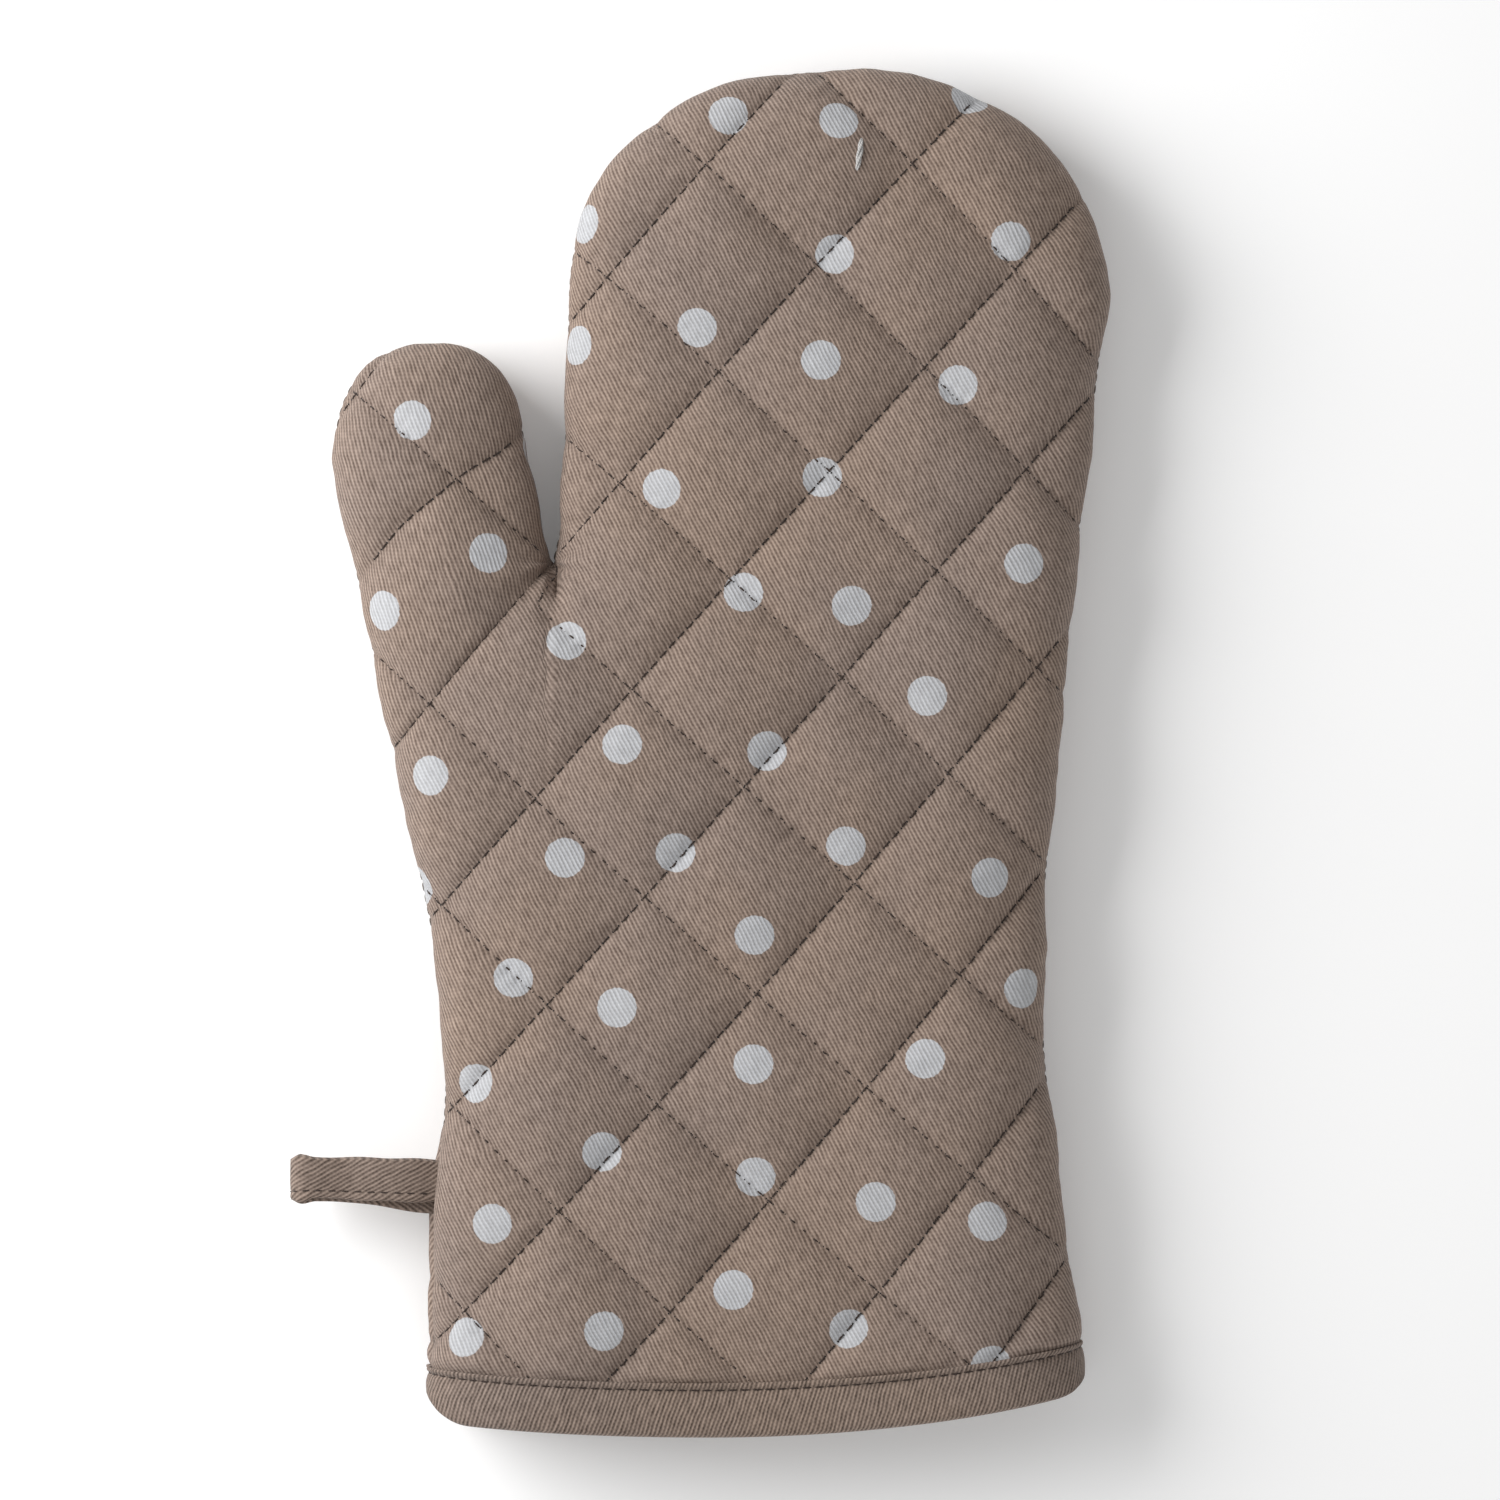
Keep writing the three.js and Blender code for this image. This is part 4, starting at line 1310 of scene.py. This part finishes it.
def loop_path():
    """Middle line of the strip, from its upper root to its lower root: x, y and z."""
    top_z, low_z = LOOP_HIGH[2] - LOOP_THICK / 2, LOOP_LOW[2] + LOOP_THICK / 2
    radius = (top_z - low_z) / 2
    end_x = LOOP_LOW[0] + LOOP_THICK / 2 + radius
    x = np.linspace(LOOP_ROOT_X, end_x, LEG_STEPS)
    away = (LOOP_ROOT_X - x) / (LOOP_ROOT_X - end_x)
    dip = 1.6 * bell(away, 0.18) + 1.1 * bell(away - 0.72, 0.16)
    top = np.stack([x, LOOP_MIDDLE_Y + LOOP_SLANT * away, top_z - dip], 1)
    turn = np.linspace(0, math.pi, EYE_STEPS + 2)[1:-1]
    bend = np.stack([
        end_x - radius * np.sin(turn),
        LOOP_MIDDLE_Y + LOOP_SLANT - 0.3 * turn,
        low_z + radius + radius * np.cos(turn),
    ], 1)
    low = top[::-1].copy()
    back = away[::-1]
    low[:, 2] = low_z + 2.0 * bell(back, 0.2) + 0.4 * np.sin(back * math.pi)
    low[:, 1] = LOOP_MIDDLE_Y - LOWER_LEG_ASIDE + LOWER_LEG_ASIDE * smoothstep(back, 0, 0.9)
    return np.concatenate([top, bend, low])


def loop_section():
    """The strip's section: a tape folded so that its raw layers lie along one edge."""
    half, thick = LOOP_HALF_WIDTH, LOOP_THICK / 2
    groove_x, groove_out = LOOP_GROOVE
    outside = [
        (-half, 0.1), (-half + 0.15, thick * 0.7), (-half + 0.7, thick), (-half + 1.6, thick * 0.9),
        (groove_x, groove_out), (-half + 2.5, thick * 0.95), (-1, thick * 1.05),
        (1.5, thick * 1.05), (half - 1.4, thick), (half - 0.5, thick * 0.95),
        (half - 0.25, thick * 0.45), (half - 0.75, thick * 0.3),
    ]
    inside = [
        (half - 0.1, 0.05), (half, -thick * 0.4), (half - 0.3, -thick * 0.9), (half - 1.2, -thick),
        (1.5, -thick), (-1, -thick), (-half + 2.2, -thick * 0.9), (-half + 0.7, -thick),
        (-half + 0.1, -thick * 0.6),
    ]
    return np.array(outside + inside)


def add_loop():
    path = loop_path()
    tangent = unit(np.gradient(path, axis=0))
    wide = unit(np.array([0, 1.0, 0]) - tangent * tangent[:, 1:2])
    outward = np.cross(wide, tangent)
    if outward[0, 2] < 0:
        outward = -outward
    section = loop_section()
    run = run_along(path)
    at_end = smoothstep(-path[:, 0], -LOOP_LOW[0] - LOOP_EYE_REACH, -LOOP_LOW[0])
    wobble = 1 + 0.04 * waves(run, run * 0, 16, 41) + 0.32 * at_end * (1 - at_end) * 2 - 0.05 * at_end
    across, off = section[:, 0][None, :] * wobble[:, None], section[:, 1][None, :]
    rings = path[:, None] + wide[:, None] * across[..., None] + outward[:, None] * off[..., None]
    cloth = np.stack(np.broadcast_arrays(run[:, None], across + off * 0.8, 0.0), -1)
    obj = lofted_ring("hanging_loop_strip", rings, {"cloth": cloth.reshape(-1, 3)}, False)
    dress(obj, LOOP_TAPE, "plain_tape", bend_at_seam, "hanging_loop")
    line = path + wide * LOOP_GROOVE[0] + outward * LOOP_GROOVE[1]
    found = stitches_along(line[3:-3], outward[3:-3], *LOOP_STITCHES)
    stitches = threads("loop_edge_stitches", *found, LOOP_THREAD)
    dress(stitches, DARK_THREAD, "dark_thread", bend_at_seam, "loop_stitch")


add_loop()


# ------------------------------------------------------------------ the tack near the fingertips


TACK_STRANDS, TACK_TWIST = 3, 5.5  # the twist in radians
TACK_THREAD = 0.36  # half of a strand's width
TACK_ARCH = 0.42  # how far its middle rises and its strands spread
TACK_SUNK = 0.2  # how far its ends go into the cloth
TACK_INSET = 0.4  # of its ends from the corners of the CAD node


def add_tack():
    """A bar of pale strands twisted together, sewn down at both ends."""
    surface = BVHTree.FromPolygons(covers[FRONT]["points"].tolist(), cover_grid.quads.tolist())
    share = np.linspace(0, 1, 41)
    low, high = node_box("tack_stitch")
    start, end = high[:2] - TACK_INSET, low[:2] + TACK_INSET
    plan = start + (end - start) * share[:, None]
    path, normals, _ = drop_onto(surface, plan, SEAM_Z + RAY_START, -1)
    up = unit(normals.mean(axis=0))
    line = path[0] + (path[-1] - path[0]) * share[:, None]
    line = np.where(((path - line) @ up > 0)[:, None], path, line)
    side = unit(np.cross(up, line[-1] - line[0]))
    arch = np.sin(share * math.pi)
    paths = []
    for strand in range(TACK_STRANDS):
        turn = share * TACK_TWIST + strand * 2 * math.pi / TACK_STRANDS
        spread = TACK_ARCH * arch[:, None] ** 0.5
        offset = spread * (np.cos(turn)[:, None] * side + 0.7 * np.sin(turn)[:, None] * up)
        paths.append(line + up * (TACK_ARCH * arch - TACK_SUNK)[:, None] + offset)
    obj = threads("fingertip_tack", paths, [up] * TACK_STRANDS, TACK_THREAD)
    dress(obj, PALE_THREAD, "pale_thread", ride_fingers, "tack_stitch")


add_tack()


# ------------------------------------------------------------------ studio


LENS, SENSOR = 200.0, 36.0
VIEW_WIDTH = 0.35  # metres seen across the frame
VIEW_HEIGHT = SEAM_Z * MM + 0.009  # where it is that wide: halfway up the front
ROOM_ON_RIGHT = 0.012  # metres that the view is centred to the right of the mitt
FLOOR_SIZE, FLOOR_GREY, FLOOR_GLOW, WORLD_LIGHT = 6, 0.96, 0.08, 0.43


def add_floor():
    bpy.ops.mesh.primitive_plane_add(size=FLOOR_SIZE, location=(0, 0, 0))
    floor = bpy.context.object
    floor.name = "studio_floor"
    nodes = Nodes("studio_floor")
    nodes.shader.inputs["Base Color"].default_value = grey(FLOOR_GREY)
    nodes.shader.inputs["Roughness"].default_value = 0.9
    nodes.shader.inputs["Emission Color"].default_value = grey(1)
    nodes.shader.inputs["Emission Strength"].default_value = FLOOR_GLOW
    floor.data.materials.append(nodes.material)


def add_light(name, place, size, watts):
    data = bpy.data.lights.new(name, "AREA")
    data.size = size
    data.energy = watts
    light = bpy.data.objects.new(name, data)
    light.location = place
    light.rotation_euler = (-Vector(place)).to_track_quat("-Z", "Y").to_euler()
    bpy.context.scene.collection.objects.link(light)


def add_camera():
    data = bpy.data.cameras.new("camera")
    data.lens = LENS
    data.sensor_width = SENSOR
    camera = bpy.data.objects.new("camera", data)
    centre_x = (cad_low[0] + cad_high[0]) / 2 + ROOM_ON_RIGHT
    camera.location = (centre_x, 0, VIEW_HEIGHT + VIEW_WIDTH * LENS / SENSOR)
    bpy.context.scene.collection.objects.link(camera)
    bpy.context.scene.camera = camera


def set_world():
    world = bpy.data.worlds.new("studio")
    world.use_nodes = True
    world.node_tree.nodes["Background"].inputs[0].default_value = (1, 1, 1, 1)
    world.node_tree.nodes["Background"].inputs[1].default_value = WORLD_LIGHT
    bpy.context.scene.world = world


# name: place and size in metres, and watts
LIGHTS = {
    "key": ((-0.72, 0.28, 0.52), 0.7, 10.6),
    "fill": ((0.3, -0.6, 1.3), 1.4, 1.4),
    "low_fill": ((0.15, -1.3, 0.22), 0.5, 3.5),
}

add_floor()
for name, settings in LIGHTS.items():
    add_light(name, *settings)
add_camera()
set_world()
bpy.context.scene.view_settings.view_transform = "Standard"
